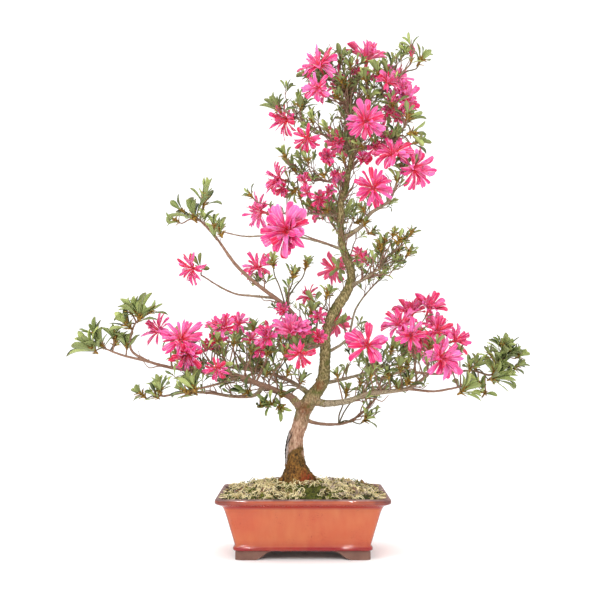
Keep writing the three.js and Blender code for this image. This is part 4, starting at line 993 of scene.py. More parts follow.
def make_pot():
    """The glazed body on its four bare feet, with the rim wiped."""
    body = pot_body()
    body.data.materials.append(glaze_material())
    clay = clay_material()
    feet = [pot_foot(sx, sy) for sx in (-1, 1) for sy in (-1, 1)]
    for foot in feet:
        foot.data.materials.append(clay)
    pot = join("glazed_pot", body, *feet)
    mesh = pot.data
    mesh.materials.append(rim_material())
    thin = [wear((vertex.co - POT) / MM) for vertex in mesh.vertices]
    mesh.attributes.new("thin", "FLOAT", "POINT").data.foreach_set("value", thin)
    for face in mesh.polygons:
        low, high = (pick((mesh.vertices[v].co - POT).z / MM for v in face.vertices) for pick in (min, max))
        if high < FOOT_HEIGHT + 0.1:
            face.material_index = 1
        elif low > LIP_HEIGHT - 3 and face.normal.z > 0.3:
            face.material_index = 2
    activate(pot)
    bpy.ops.object.shade_smooth_by_angle(angle=math.radians(38))
    finish_piece(pot, "glaze", "pot")


# ---- Ground ----

# half the width and depth of the pot's inside at its lip
CAVITY = (111, 81)
# height of the mound at the lip, and how much higher it is in the middle
MOUND_EDGE, MOUND_RISE = 76, 17
CARPET_GAP, CARPET_DEPTH = 2.2, 4
# the trunk's foot: its place along the pot, and how far it keeps the moss away
TRUNK_X, TRUNK_REACH = -8, 24
MOSS_TIPS = 8000
CRUMBS = 420
# dry leaves: place, and the direction in which they point
DRY_LEAVES = [(-101, -30, 0.4), (94, 34, 2), (70, 60, 4), (-60, -66, 1.2), (84, -58, 2.8)]
# the share of the dry strands, and of the moss tips, that is kept for the front
FRONT_STRANDS, FRONT_TIPS = 0.3, 0.35
# within so much of an end, this share of the strands spills over the lip
SPILL_REACH, SPILL_SHARE = 16, 0.3
# how thick a strand is from end to end
STRAND_TAPER = (0.5, 0.9, 1, 1, 0.8, 0.4)
# how many cream, straw, green, rosy and brown strands lie together in each kind of patch
PALE_MIX, GREEN_MIX, ROSY_MIX = (76, 10, 6, 6, 2), (26, 14, 48, 4, 8), (40, 14, 2, 40, 4)
# and in the hollows between the pale locks, where the darker strands are painted shade
SHADED_HOLLOW_MIX = (6, 22, 24, 8, 40)


def mound_height(x, y, rise):
    """Height of the mound in millimetres, for a place in millimetres from the pot's middle."""
    out = min(1.0, max(abs(x) / CAVITY[0], abs(y) / CAVITY[1]))
    return MOUND_EDGE + MOUND_RISE * (1 - out**2.4) + rise


def moss_surface(x, y):
    """Height of the cushion moss, lump by lump."""
    spot = Vector((x, y, 0))
    lumps = noise.noise(spot / 17) + 0.6 * noise.noise(spot / 6.5) + 0.3 * noise.noise(spot / 2.8)
    return mound_height(x, y, 4.2 + 2.2 * lumps)


def near_trunk(x, y):
    """Whether the trunk's foot stands at a place."""
    return math.hypot(x - TRUNK_X, y) < TRUNK_REACH


def in_bay(x, y):
    """How far inside the green bay at the front a place is, from 0 to 1."""
    half = 19 + 8 * math.sin(0.11 * y) + 0.1 * (-y)
    return max(0.0, min(1.0, (half - abs(x - 12)) / 12)) * max(0.0, min(1.0, (-26 - y) / 14))


def make_moss(dice):
    """A carpet of cushion moss over the mound, bristling with shoot tips."""
    bpy.ops.mesh.primitive_grid_add(x_subdivisions=84, y_subdivisions=62, size=2)
    carpet = bpy.context.object
    for vertex in carpet.data.vertices:
        x, y = vertex.co.x, vertex.co.y
        # drawn in a little at the corners, which are round
        inward = 1 - 0.035 * (x * y) ** 8
        x, y = x * (CAVITY[0] - CARPET_GAP) * inward, y * (CAVITY[1] - CARPET_GAP) * inward
        vertex.co = place(x, y, moss_surface(x, y))
    wall = carpet.modifiers.new("Thickness", "SOLIDIFY")
    wall.thickness = CARPET_DEPTH * MM
    wall.offset = -1
    activate(carpet)
    bpy.ops.object.modifier_apply(modifier=wall.name)
    bpy.ops.object.shade_smooth()
    # moss seen from above: velvety; its near-black tone is partly the moss's own dark green and partly
    # painted shade under the strands
    moss_and_gap_shade = grain_material("cushion_moss", "#14180A", "#3E4A18", 0.005, 0.002)
    carpet.data.materials.append(moss_and_gap_shade)
    spike = model_spike(3)
    tips = Gathering()
    for _ in range(MOSS_TIPS):
        x, y = dice.uniform(-1, 1) * (CAVITY[0] - 4), dice.uniform(-1, 1) * (CAVITY[1] - 4)
        if dice.random() < FRONT_TIPS:
            x, y = dice.uniform(-22, 48), dice.uniform(-CAVITY[1] + 4, -24)
        if near_trunk(x, y):
            continue
        lean = Vector((dice.gauss(0, 0.5), dice.gauss(0, 0.5), 1)).normalized()
        bright = in_bay(x, y) > 0.3 and noise.noise(Vector((x, y, 0)) / 9) > -0.25
        tips.lay(spike, place(x, y, moss_surface(x, y) - 0.6), lean, around(lean, dice.uniform(0, FULL_TURN)),
                 dice.uniform(2, 4.2) * MM, dice.uniform(0.7, 1.3) * MM, lambda s: 0.5 * s,
                 number=int(bright))
    shoots = tips.build("moss_tips", [
        grain_material("moss_shoot_tips", "#22280C", "#5A5C20", 0.006, roughness=0.8),
        grain_material("moss_bright_tips", settings("bonsai_ground").moss, "#80802E", 0.005,
                       roughness=0.8)])
    finish_piece(join("moss_carpet", carpet, shoots), "moss", "moss")


def strand_mix(x, y, in_shaded_hollow):
    """How many strands of each of the five colours lie together at a place."""
    if in_shaded_hollow:
        return SHADED_HOLLOW_MIX
    patch = noise.noise(Vector((x / 16, y / 16, 9)))
    if patch > 0.24:
        return GREEN_MIX
    return ROSY_MIX if x > 25 and patch < -0.1 else PALE_MIX


def strand_points(dice, x, y, spilt, in_shaded_hollow):
    """A strand that sets off from a place, curls, and bows up over the mound or over the lip."""
    length = dice.uniform(6, 16)
    turn, curl = dice.uniform(0, 2 * math.pi), dice.gauss(0, 4.4)
    # the heap thins out towards both ends of the pot
    lift, base = dice.uniform(0, 1) ** 2, dice.uniform(3.5, 9) * (1 - 0.5 * (x / CAVITY[0]) ** 2)
    if in_shaded_hollow:
        lift, base = 0.3 * lift, 0.6 * base
    end = CAVITY[0] + (3.5 if spilt else -1.5)
    steps = len(STRAND_TAPER) - 1
    points = []
    for k in range(steps + 1):
        way = turn + curl * k / steps
        x += math.cos(way) * length / steps
        y += math.sin(way) * length / steps
        x = max(-end, min(end, x))
        y = max(-CAVITY[1] + 1.5, min(CAVITY[1] - 1.5, y))
        bow = math.sin(math.pi * k / steps) * (1 + 4.5 * lift)
        lump = 3.4 * noise.noise(Vector((x / 8, y / 8, 1)))
        high = mound_height(x, y, base + bow + lump)
        if spilt:
            high = max(high, LIP_HEIGHT + 0.7 + 0.4 * (bow + lump))
        points.append(place(x, y, high))
    return np.array(points)


def make_sphagnum(dice):
    """Dried sphagnum: pale curling strands, heaped over the moss and thinner over the green bay."""
    strands = []
    while len(strands) < settings("bonsai_ground").strands:
        x, y = dice.uniform(-1, 1) * (CAVITY[0] - 5), dice.uniform(-1, 1) * (CAVITY[1] - 5)
        if dice.random() < FRONT_STRANDS:
            y = dice.uniform(-CAVITY[1] + 5, -30)
        bald = noise.noise(Vector((x / 13, y / 9, 4)))
        spilt = abs(x) > CAVITY[0] - SPILL_REACH and dice.random() < SPILL_SHARE
        if spilt:
            x += math.copysign(dice.uniform(4, 12), x)
        if near_trunk(x, y) or dice.random() < 1.02 * in_bay(x, y) or dice.random() < 3 * (bald - 0.05):
            continue
        # the hollows between the pale locks lie lower and take darker strands as painted shade
        in_shaded_hollow = noise.noise(Vector((x / 4.2, y / 4.2, 21))) < -0.1
        mix = strand_mix(x, y, in_shaded_hollow)
        points = strand_points(dice, x, y, spilt, in_shaded_hollow)
        radii = dice.uniform(0.36, 0.7) * MM * np.array(STRAND_TAPER)
        strands.append((points, radii, dice.choices(range(len(mix)), mix)[0]))
    pale = settings("bonsai_ground").sphagnum
    # brown strands are partly the moss's own old strands and partly painted shade in the hollows
    mat = grow_tubes("sphagnum_strands", strands, [
        grain_material("dried_sphagnum_cream", "#D4C08A", pale, 0.012),
        grain_material("dried_sphagnum_straw", "#937A4C", "#D0B880", 0.01),
        grain_material("sphagnum_green", "#3A4412", "#8A9034", 0.01),
        grain_material("sphagnum_rosy", "#9A8576", "#D2BEAC", 0.01),
        grain_material("sphagnum_brown_and_shade", "#1C1408", "#54401E", 0.01)], sides=0)
    finish_piece(mat, "sphagnum", "sphagnum")


def make_litter(dice):
    """Bark crumbs, grit and a few dry leaves caught in the moss."""
    litter = Gathering()
    crumb = model_spike(5)
    for _ in range(CRUMBS):
        x, y = dice.uniform(-1, 1) * (CAVITY[0] - 6), dice.uniform(-1, 1) * (CAVITY[1] - 6)
        if near_trunk(x, y):
            continue
        tip = Vector((dice.gauss(0, 1), dice.gauss(0, 1), dice.gauss(0, 0.2))).normalized()
        litter.lay(crumb, place(x, y, mound_height(x, y, dice.uniform(5, 9.5))), tip, around(tip, 1),
                   dice.uniform(1.2, 3) * MM, dice.uniform(0.7, 1.5) * MM, lambda s: 0 * s)
    leaf = shapes().leaf
    for x, y, turn in DRY_LEAVES:
        way = Vector((math.cos(turn), math.sin(turn), 0.05))
        litter.lay(leaf, place(x, y, mound_height(x, y, 9.5)), way, UP, 17 * MM, 7 * MM, lambda s: 0.5 * s,
                   cup=0.35, wave=0.04, number=1)
    finish_piece(litter.build("litter", [
        grain_material("bark_crumbs", "#1E150E", "#4A3624", 0.003),
        grain_material("dead_leaf", "#5A3C2C", "#8E6A4C", 0.004)]), "soil")


# ---- Wood ----

# points this far apart along the trunk and the branches
TRUNK_STEP, LIMB_STEP = 3, 3.2
# branches are drawn a little slimmer than the frame's
LIMB_SLIMMING = 0.9


class Wood:
    """The middle lines of the trunk and branches, searched for the nearest place to root a twig."""

    def __init__(self):
        path = smooth_path([place(*t[:3]) for t in TRUNK], TRUNK_STEP * MM)
        radii = np.interp(path[:, 2], [t[2] * MM for t in TRUNK], [t[3] * MM for t in TRUNK])
        self.lines = {"trunk": (path, radii)}
        for name, (base, tip, points) in LIMBS.items():
            path = smooth_path([place(*p) for p in points], LIMB_STEP * MM)
            along = shares(path)
            # a collar swells where the branch leaves its parent
            radii = LIMB_SLIMMING * (base + (tip - base) * along) * MM * (1 + 0.4 * np.exp(-along * 16))
            self.lines[name] = (path, radii)
        self.points = np.vstack([line for line, _ in self.lines.values()])

    def nearest(self, spot):
        """The place on the wood that is nearest to another place."""
        gaps = np.linalg.norm(self.points - np.array(spot), axis=1)
        return Vector(self.points[gaps.argmin()])


WOOD = Wood()
ROOTS = 7
# limbs whose first points are moulded into the trunk
COLLARS = ("low_left", "low_right", "under_right", "inner_left", "rising_left", "rising_right")
COLLAR_POINTS = 8
# pruning scars: place, way the cut faces, radius
SCARS = [
    ((2, 2, 199), (-0.3, -1, 0.1), 5.2), ((-9, 0, 158), (0.8, -0.7, 0), 3.4),
    ((28, 6, 243), (-0.8, -0.6, 0.2), 3.6), ((33, -3, 300), (0.7, -0.7, 0.2), 3.2),
    ((54, 0, 357), (-0.5, -0.8, 0.5), 3.4), ((62, 11, 430), (-0.6, -0.8, 0), 3),
    ((56, 8, 490), (0.6, -0.8, 0.1), 2.8), ((20, 7, 228), (0.6, 0.8, 0), 4),
]


def displace(piece, size, strength, kind="CLOUDS"):
    """Pushes a skin in and out by a cloudy or furrowed pattern of the given size."""
    pattern = bpy.data.textures.new("relief", kind)
    pattern.noise_scale = size
    push = piece.modifiers.new("Relief", "DISPLACE")
    push.texture = pattern
    push.texture_coords = "LOCAL"
    push.strength = strength
    push.mid_level = 0.5
    activate(piece)
    bpy.ops.object.modifier_apply(modifier=push.name)


def make_trunk(dice):
    """The trunk with its surface roots and old pruning scars, as one skin with bark relief."""
    path, radii = WOOD.lines["trunk"]
    lines = [(path, radii, 0)]
    for k in range(ROOTS):
        turn = 2 * math.pi * k / ROOTS + dice.uniform(-0.25, 0.25)
        reach = dice.uniform(0.95, 1.2)
        x, y = reach * math.cos(turn), reach * math.sin(turn)
        root = [(-9, 0, 136, 5), (-9 + 8 * x, 8 * y, 118, 6.5), (-8 + 16 * x, 16 * y, 103, 7),
                (-8 + 27 * x, 27 * y, 92, 5.5)]
        line = smooth_path([place(*r[:3]) for r in root], TRUNK_STEP * MM)
        lines.append((line, np.interp(shares(line), [0, 0.35, 0.7, 1], [r[3] * MM for r in root]), 0))
    for at, way, size in SCARS:
        start, way = place(*at), Vector(way).normalized()
        thick = float(radii[np.linalg.norm(path - np.array(start), axis=1).argmin()])
        end = start + way * (thick + 1.6 * MM)
        stub = np.array([start, start.lerp(end, 0.7), end])
        lines.append((stub, np.array([size, size, size * 0.7]) * MM, 0))
    for name in COLLARS:
        limb, limb_radii = WOOD.lines[name]
        lines.append((limb[:COLLAR_POINTS], limb_radii[:COLLAR_POINTS] * 1.04, 0))
    trunk = grow_tubes("trunk_bark", lines, [trunk_material()], sides=4)
    skin = trunk.modifiers.new("Skin", "REMESH")
    skin.mode = "VOXEL"
    skin.voxel_size = 1.25 * MM
    activate(trunk)
    bpy.ops.object.modifier_apply(modifier=skin.name)
    soft = trunk.modifiers.new("Soften", "SMOOTH")
    soft.iterations = 4
    bpy.ops.object.modifier_apply(modifier=soft.name)
    # swellings of 20 mm, plates of 5 mm, and flakes of 2 mm
    displace(trunk, 0.02, 3.2 * MM)
    displace(trunk, 0.0055, 2.2 * MM)
    displace(trunk, 0.0022, 1.1 * MM, "STUCCI")
    bpy.ops.object.shade_smooth()
    finish_piece(trunk, "bark", "trunk")
    return trunk


def make_trunk_moss(trunk, dice):
    """Brown and green moss hugging the foot of the trunk, and small cushions higher up."""
    rust, olive, green = range(3)
    spike = model_spike(3)
    tufts = Gathering()
    for face in trunk.data.polygons:
        height = (face.center - POT).z / MM
        low = 96 < height < 132 + 16 * noise.noise(face.center * 55)
        cushion = height > 200 and noise.noise(face.center * 40 + Vector((3, 1, 7))) > 0.36
        if not (low and dice.random() < 0.42 or cushion and dice.random() < 0.4):
            continue
        way = (face.normal + Vector((dice.gauss(0, 0.35), dice.gauss(0, 0.35), 0.3))).normalized()
        rusty = noise.noise(face.center * 90 + Vector((5, 5, 5))) > -0.05
        tufts.lay(spike, face.center - face.normal * 0.3 * MM, way, around(way, dice.uniform(0, FULL_TURN)),
                  dice.uniform(1.2, 2.6) * MM, dice.uniform(0.6, 1.1) * MM, lambda s: 0.6 * s,
                  number=green if cushion else rust if rusty else olive)
    finish_piece(tufts.build("trunk_moss", [
        grain_material("trunk_moss_rust", "#2A1806", "#8E5A20", 0.005),
        grain_material("trunk_moss_olive", "#1E1806", "#5E5620", 0.005),
        grain_material("trunk_moss_green", "#3A4818", "#66782A", 0.005)]), "moss")


def make_crack():
    """The split down the left of the trunk, a dark tube of painted shade, with a pale strip of bark peeling
    beside it.
    """
    lines = []
    for points, thick, look in (
            ([(-19.6, -4, 170), (-22.6, -5, 160), (-24.2, -5, 150), (-25.2, -6, 142), (-25, -6.5, 133),
              (-25.6, -7, 124)], 0.85, 0),
            ([(-15, -10.6, 171), (-17, -10, 164), (-20.2, -8, 157), (-23.4, -6, 151)], 0.75, 0),
            ([(-18.8, -2, 172), (-21.4, -3, 154), (-22.6, -4, 140), (-23, -5, 124)], 2.3, 1)):
        line = smooth_path([place(*p) for p in points], 2 * MM)
        wavy = [1 + 0.3 * math.sin(2.1 * k) for k in range(len(line))]
        swell = 0.4 + 0.6 * np.sin(math.pi * np.clip(shares(line), 0.05, 0.95))
        lines.append((line, thick * MM * swell * np.array(wavy), look))
    finish_piece(grow_tubes("bark_crack", lines, [
        grain_material("painted_shade_split", "#0E0C0B", "#2A2420", 0.003),
        grain_material("peeled_bark", "#8A7A74", "#BCAEA8", 0.004)]), "bark")


# branches whose bark stays young and red-brown right up to the trunk
RED_LIMBS = ("low_left", "under_right", "low_left_rise", "low_left_end", "low_right_end", "rising_left")


def make_branches():
    """All branches as one piece, with young bark on some and older bark on the others."""
    lines = []
    for name, (path, radii) in WOOD.lines.items():
        if name != "trunk":
            lines.append((path, radii, int(name in RED_LIMBS)))
    barks = [bark_material("azalea_branch_bark"), bark_material()]
    branches = grow_tubes("branch_bark", lines, barks, sides=3)
    displace(branches, 0.006, 1.0 * MM)
    displace(branches, 0.0025, 0.5 * MM)
    finish_piece(branches, "bark", "trunk")


def twig_path(start, way, end, arrive, dice, bow=0.05, step=5):
    """A thin stem that leaves one way and arrives another, a little bent, with a point every few mm."""
    reach = (end - start).length
    side = around((end - start).normalized(), dice.uniform(0, FULL_TURN)) * bow * reach
    knee = start + way * 0.3 * reach + side
    neck = end - arrive * 0.3 * reach + side * 0.6
    middle = start.lerp(end, 0.5) * 0.4 + (knee + neck) * 0.3
    return smooth_path([start, start.lerp(knee, 0.8), middle, neck, end], step * MM)


# ---- Flowers ----

# (place along, share of full width) from the root to the tip
PETAL_BLUNT = [
    (0, 0.18), (0.2, 0.26), (0.4, 0.5), (0.58, 0.8), (0.74, 0.98), (0.86, 1), (0.95, 0.8), (1, 0.42),
]
PETAL_POINTED = [
    (0, 0.22), (0.15, 0.28), (0.32, 0.5), (0.48, 0.8), (0.63, 1), (0.78, 0.9), (0.91, 0.5), (1, 0.08),
]
LEAF_ROWS = [
    (0, 0.1), (0.12, 0.16), (0.3, 0.44), (0.5, 0.82), (0.68, 1), (0.83, 0.9), (0.94, 0.56), (1, 0.1),
]
SMALL_LEAF_ROWS = [(0, 0.12), (0.3, 0.52), (0.62, 1), (0.86, 0.82), (1, 0.16)]
SCALE_ROWS = [(0, 0.7), (0.35, 1), (0.7, 0.7), (1, 0.1)]


class TreeShapes:
    """The petals, leaves and scales that everything else is a copy of."""

    def __init__(self):
        self.petals = (model_blade("petal_blunt", 2, PETAL_BLUNT, 0.018),
                       model_blade("petal_notched", 2, PETAL_BLUNT, 0.018, notch=0.05),
                       model_blade("petal_pointed", 2, PETAL_POINTED, 0.018))
        self.leaf = model_blade("leaf", 2, LEAF_ROWS, 0.016)
        self.small_leaf = model_blade("small_leaf", 2, SMALL_LEAF_ROWS, 0.02)
        self.scale = model_blade("bud_scale", 2, SCALE_ROWS, 0.06)


SHAPES = {}


def shapes():
    """The tree's shapes, modelled when they are first asked for."""
    if "tree" not in SHAPES:
        SHAPES["tree"] = TreeShapes()
    return SHAPES["tree"]


# a flower's four whorls: petals against its count, how far they open in radians, their length and width
WHORLS = [(0.5, 1.64, 1.0, 0.86), (0.6, 1.28, 1.08, 0.9), (0.46, 0.9, 1.0, 0.84), (0.3, 0.48, 0.8, 0.72)]


def lay_petals(petals, heart, axis, radius, count, width, dice, deep_and_shaded=0.0, openness=1.0):
    """The petals of one flower: the outer whorls open or bent back, the inner ones upright and twisted."""
    blunt, notched, pointed = shapes().petals
    # a random depth of colour for each flower, on top of any painted shade it was given
    deep_and_shaded += dice.gauss(0, 0.13)
    for part, opening, reach, breadth in WHORLS:
        number = max(3, round(count * part))
        start = dice.uniform(0, FULL_TURN)
        for k in range(number):
            out = around(axis, start + 2 * math.pi * k / number + dice.gauss(0, 0.2))
            open_ = opening * openness * (0.74 if axis.z > 0.8 else 1) + dice.gauss(0, 0.18)
            roll = dice.gauss(0.25, 0.36)

            def lean(s, open_=open_, roll=roll):
                """Up along the tube, then bent open, with the tip rolled back."""
                return 0.3 + (open_ - 0.3) * np.clip(s / 0.42, 0, 1) ** 0.8 + roll * s**2.2

            length = radius * reach * dice.uniform(0.82, 1.12) * settings("bonsai_tree").petal_size
            petals.lay(dice.choices((blunt, notched, pointed), (4, 3, 3))[0],
                       heart + out * 0.045 * radius - axis * 0.06 * radius, axis, out, length,
                       length * width * breadth * dice.uniform(0.66, 1.14),
                       lean, cup=dice.gauss(0.3, 0.2), wave=dice.uniform(0.02, 0.06),
                       twist=dice.gauss(0, 0.45),
                       tint=min(1, max(0, dice.gauss(0.62 - deep_and_shaded, 0.34))))


def stamen_lines(heart, axis, radius, dice):
    """Pink filaments that curve up to their anthers, and one longer style."""
    lines = []
    for k in range(6):
        out = around(axis, dice.uniform(0, FULL_TURN))
        long = radius * (0.9 if k == 0 else dice.uniform(0.5, 0.75))
        spread = 0.12 if k == 0 else dice.uniform(0.15, 0.4)
        tip = heart + axis * long + out * spread * long
        middle = heart + axis * long * 0.5 + out * spread * long * 0.75
        path = smooth_path([heart - axis * 0.1 * radius, middle, tip], long / 4)
        lines.append((path, np.full(len(path), (0.42 if k == 0 else 0.3) * MM), 1))
        knob = np.array([tip - axis * 0.8 * MM, tip, tip + axis * 0.9 * MM])
        lines.append((knob, np.array([0.45, 0.75, 0.45]) * MM, 2))
    return lines


# a fifth of a turn between calyx lobes, and a sixth between the petals of a bud
LOBE_TURN, BUD_TURN = 1.2566, 1.047


class Greenery:
    """Leaves, calyx lobes and scales round the flowers, with their stalks, gathered over the whole tree."""

    def __init__(self):
        self.green, self.stalks = Gathering(), []

    def stalk(self, start, end, way, arrive, dice, thick=1.25, thin=0.8):
        """A stalk that thins from one radius to another."""
        path = twig_path(start, way, end, arrive, dice)
        self.stalks.append((path, np.linspace(thick, thin, len(path)) * MM, 0))

    def tube(self, neck, heart, thick):
        """The tube that the petals spring from."""
        path = smooth_path([neck, neck.lerp(heart, 0.5), heart], (heart - neck).length / 4)
        self.stalks.append((path, np.linspace(0.9 * MM, thick, len(path)), 1))

    def calyx(self, neck, axis, dice, lobe=6.5, leaves=(3, 6), reach=(14, 24)):
        """Five lobes and five scales under a flower, and a few leaves of a length within reach."""
        for k in range(5):
            out = around(axis, k * LOBE_TURN + 0.3)
            self.green.lay(shapes().small_leaf, neck + out * 0.8 * MM, axis, out, lobe * MM,
                           0.42 * lobe * MM, lambda s: 0.5 + 0.4 * s, tint=0.75)
        for _ in range(5):
            out = around(axis, dice.uniform(0, FULL_TURN))
            self.green.lay(shapes().scale, neck - axis * dice.uniform(0, 3) * MM, axis, out,
                           0.8 * lobe * MM, 0.45 * lobe * MM, lambda s: 0.45 + 0.3 * s, cup=0.3, tint=0.4,
                           number=1)
        for _ in range(dice.randint(*leaves)):
            out = around(axis, dice.uniform(0, FULL_TURN))
            length = dice.uniform(*reach) * settings("bonsai_tree").leaf_size
            self.green.lay(shapes().leaf, neck - axis * dice.uniform(1, 4) * MM,
                           (axis + UP * 0.2).normalized(), out, length * MM, 0.33 * length * MM,
                           lambda s, o=dice.uniform(0.8, 1.5): o + 0.5 * s, cup=0.2,
                           twist=dice.gauss(0, 0.2), tint=dice.uniform(0.25, 1.0))

    def build(self):
        """Makes the two pieces, once all flowers are laid."""
        coral = grain_material("azalea_flower_tube", "#C43646", "#E86A74", 0.004,
                               roughness=0.5)
        finish_piece(grow_tubes("flower_stalks", self.stalks, [bark_material(), coral]), "bark", "trunk")
        finish_piece(self.green.build("flower_leaves", [leaf_material(), scale_material()]), "leaf")


def flower_parts(name, petals, threads):
    """Petals and stamens as one piece."""
    pink = grain_material("azalea_filament", "#E04A78", "#F284A8", 0.004, roughness=0.5)
    anther = grain_material("azalea_anther", "#7E3C48", "#C48088", 0.004, roughness=0.6)
    return join(name, petals.build(name, [petal_material()]), grow_tubes("threads", threads, [
        petal_material(), pink, anther], sides=0))


def make_trusses(greenery, dice):
    """The trusses of open flowers, each standing for its frame node."""
    for owner, (foot, flowers) in TRUSSES.items():
        petals, threads = Gathering(), []
        root = WOOD.nearest(place(*foot))
        middle = sum((place(*f[0]) for f in flowers), Vector()) / len(flowers)
        lead = (middle - root).normalized()
        fork = root if len(flowers) == 1 else root.lerp(middle, 0.5)
        if len(flowers) > 1:
            greenery.stalk(root, fork, (lead + UP * 0.3).normalized(), lead, dice, 1.7, 1.25)
        for centre, facing, radius, count, width in flowers:
            axis = Vector(facing).normalized()
            size = radius * MM
            heart = place(*centre) - axis * 0.2 * size
            neck = heart - axis * 0.5 * size
            greenery.stalk(fork, neck, lead, axis, dice)
            greenery.tube(neck, heart, 0.1 * size)
            greenery.calyx(neck, axis, dice)
            # flowers that face downwards get deeper petals as painted shade
            lay_petals(petals, heart, axis, size, count, width, dice, 0.3 if facing[2] < -0.4 else 0.0)
            threads += stamen_lines(heart, axis, size, dice)
        finish_piece(flower_parts(owner + "_flowers", petals, threads), "petal", owner)


def make_blossoms(greenery, dice):
    """Small and half-open flowers, and furled buds, each on its own twig."""
    petals, threads = Gathering(), []
    for centre, facing, radius, count, deep_and_shaded in BLOSSOMS:
        axis, size = Vector(facing).normalized(), radius * MM
        heart = place(*centre)
        neck = heart - axis * 0.45 * size
        root = WOOD.nearest(neck - UP * 1.4 * size)
        greenery.stalk(root, neck, (neck - root).normalized(), axis, dice, 1.1, 0.8)
        greenery.tube(neck, heart, 0.1 * size)
        greenery.calyx(neck, axis, dice, 4.5, (0, 2), (10, 16))
        # the deeper coloured ones are only half open; their depth of colour is partly painted shade
        lay_petals(petals, heart, axis, size * 1.1, count, 0.34 + 0.3 * deep_and_shaded, dice, deep_and_shaded, 1 - 0.9 * deep_and_shaded)
        threads += stamen_lines(heart, axis, size, dice)
    for centre, facing, length in BUDS:
        axis, size = Vector(facing).normalized(), length * MM
        base = place(*centre)
        root = WOOD.nearest(base)
        greenery.stalk(root, base, (base - root).normalized(), axis, dice, 1.1, 0.8)
        greenery.calyx(base, axis, dice, 0.3 * length, (1, 3), (10, 18))
        for k in range(6):
            out = around(axis, k * BUD_TURN + dice.uniform(-0.1, 0.1))
            petals.lay(shapes().petals[2], base + out * 0.03 * size, axis, out,
                       size * dice.uniform(0.88, 1.05), size * 0.26, lambda s: 0.22 * np.cos(2.9 * s) + 0.03,
                       cup=0.75, twist=0.7, tint=dice.uniform(0, 0.5))
    finish_piece(flower_parts("small_flowers", petals, threads), "petal")


# ---- Leaves ----

# leaves of a rosette for each one of the frame's, above this height in the crown and below it
CROWN_HEIGHT = 440
CROWN_FILL, LOWER_FILL = 1.1, 1.4
# bud scales under a rosette: how many, and how long
SHOOT_SCALES, TUFT_SCALES, SPRIG_SCALES = (18, 12.5), (13, 10.5), (3, 3.6)


def lay_rosette(leaves, blade, centre, axis, count, length, dice, dull=0.0):
    """Leaves in a spiral round the end of a shoot: young and upright inside, older and open outside."""
    turn = dice.uniform(0, FULL_TURN)
    for k in range(count):
        age = (k + 0.5) / count
        turn += GOLDEN_ANGLE + dice.gauss(0, 0.2)
        out = around(axis, turn)
        size = length * (0.6 + 0.46 * age**0.7) * dice.uniform(0.85, 1.1)
        size *= settings("bonsai_tree").leaf_size
        open_ = 0.1 + 1.1 * age + dice.gauss(0, 0.2)
        leaves.lay(blade, centre - axis * (0.5 + 6 * age) * MM, axis, out, size,
                   size * dice.uniform(0.22, 0.3),
                   lambda s, o=open_, r=dice.gauss(0.25, 0.35): o * (0.75 + 0.25 * s) + r * s**2,
                   cup=dice.uniform(0.1, 0.45), wave=0.02, twist=dice.gauss(0, 0.45),
                   tint=min(1, max(0, dice.gauss(0.84 - 0.7 * age - dull, 0.36))))


def lay_scales(leaves, centre, axis, dice, count, size):
    """Bud scales in a spiral down the shoot, under its rosette."""
    for k in range(count):
        out = around(axis, GOLDEN_ANGLE * k + dice.uniform(-0.2, 0.2))
        leaves.lay(shapes().scale, centre - axis * (0.6 * k + 1) * MM, axis, out,
                   size * dice.uniform(0.6, 1.15) * MM, size * 0.28 * MM,
                   lambda s, o=dice.uniform(0.1, 0.95): o + 0.5 * s, cup=0.3, number=2)


def leave_limb(limb, end, is_leader):
    """Where a stem leaves its limb for its end, and which way. The leader carries on from the limb's tip."""
    outer = limb[len(limb) // 2:]
    start = Vector(limb[-1] if is_leader else outer[np.linalg.norm(outer - end, axis=1).argmin()])
    if is_leader and len(limb) > 1:
        return start, Vector(limb[-1] - limb[-2]).normalized()
    return start, (end - start + UP * 0.2 * (end - start).length).normalized()


def make_shoots(dice):
    """Leafy shoots, each piece standing for its frame node."""
    materials = [leaf_material(), stem_material(), scale_material()]
    ends = {tuple(points[-1]): name for name, (_, _, points) in LIMBS.items()}
    for owner, (foot, whorls) in SHOOTS.items():
        leaves, stems = Gathering(), []
        if foot in ends:
            limb = WOOD.lines[ends[foot]][0]
        else:
            limb = np.array([WOOD.nearest(place(*foot))])
        for number, (centre, count, length) in enumerate(whorls):
            end = place(*centre)
            start, way = leave_limb(limb, end, number == 0)
            heading = ((end - start).normalized() + UP * 0.55).normalized()
            end -= heading * 0.36 * length * MM
            path = twig_path(start, way, end, heading, dice)
            stems.append((path, np.linspace(1.25, 0.9, len(path)) * MM, 1))
            fill = CROWN_FILL if centre[2] > CROWN_HEIGHT else LOWER_FILL
            lay_rosette(leaves, shapes().leaf, end, heading, round(count * fill), length * 1.05 * MM, dice)
            lay_scales(leaves, end, heading, dice, *SHOOT_SCALES)
            # a few older leaves left along the stem
            for _ in range(dice.randint(0, 2)):
                spot = Vector(path[dice.randint(len(path) // 2, len(path) - 1)])
                out = around(heading, dice.uniform(0, FULL_TURN))
                leaves.lay(shapes().leaf, spot, heading, out, 0.6 * length * MM, 0.24 * length * MM,
                           lambda s, o=dice.uniform(0.9, 1.4): o + 0.3 * s, cup=0.2,
                           tint=dice.uniform(0.1, 0.5))
        name = owner + "_leaves"
        shoot = join(name, leaves.build(name, materials), grow_tubes("stems", stems, materials))
        finish_piece(shoot, "leaf", owner)


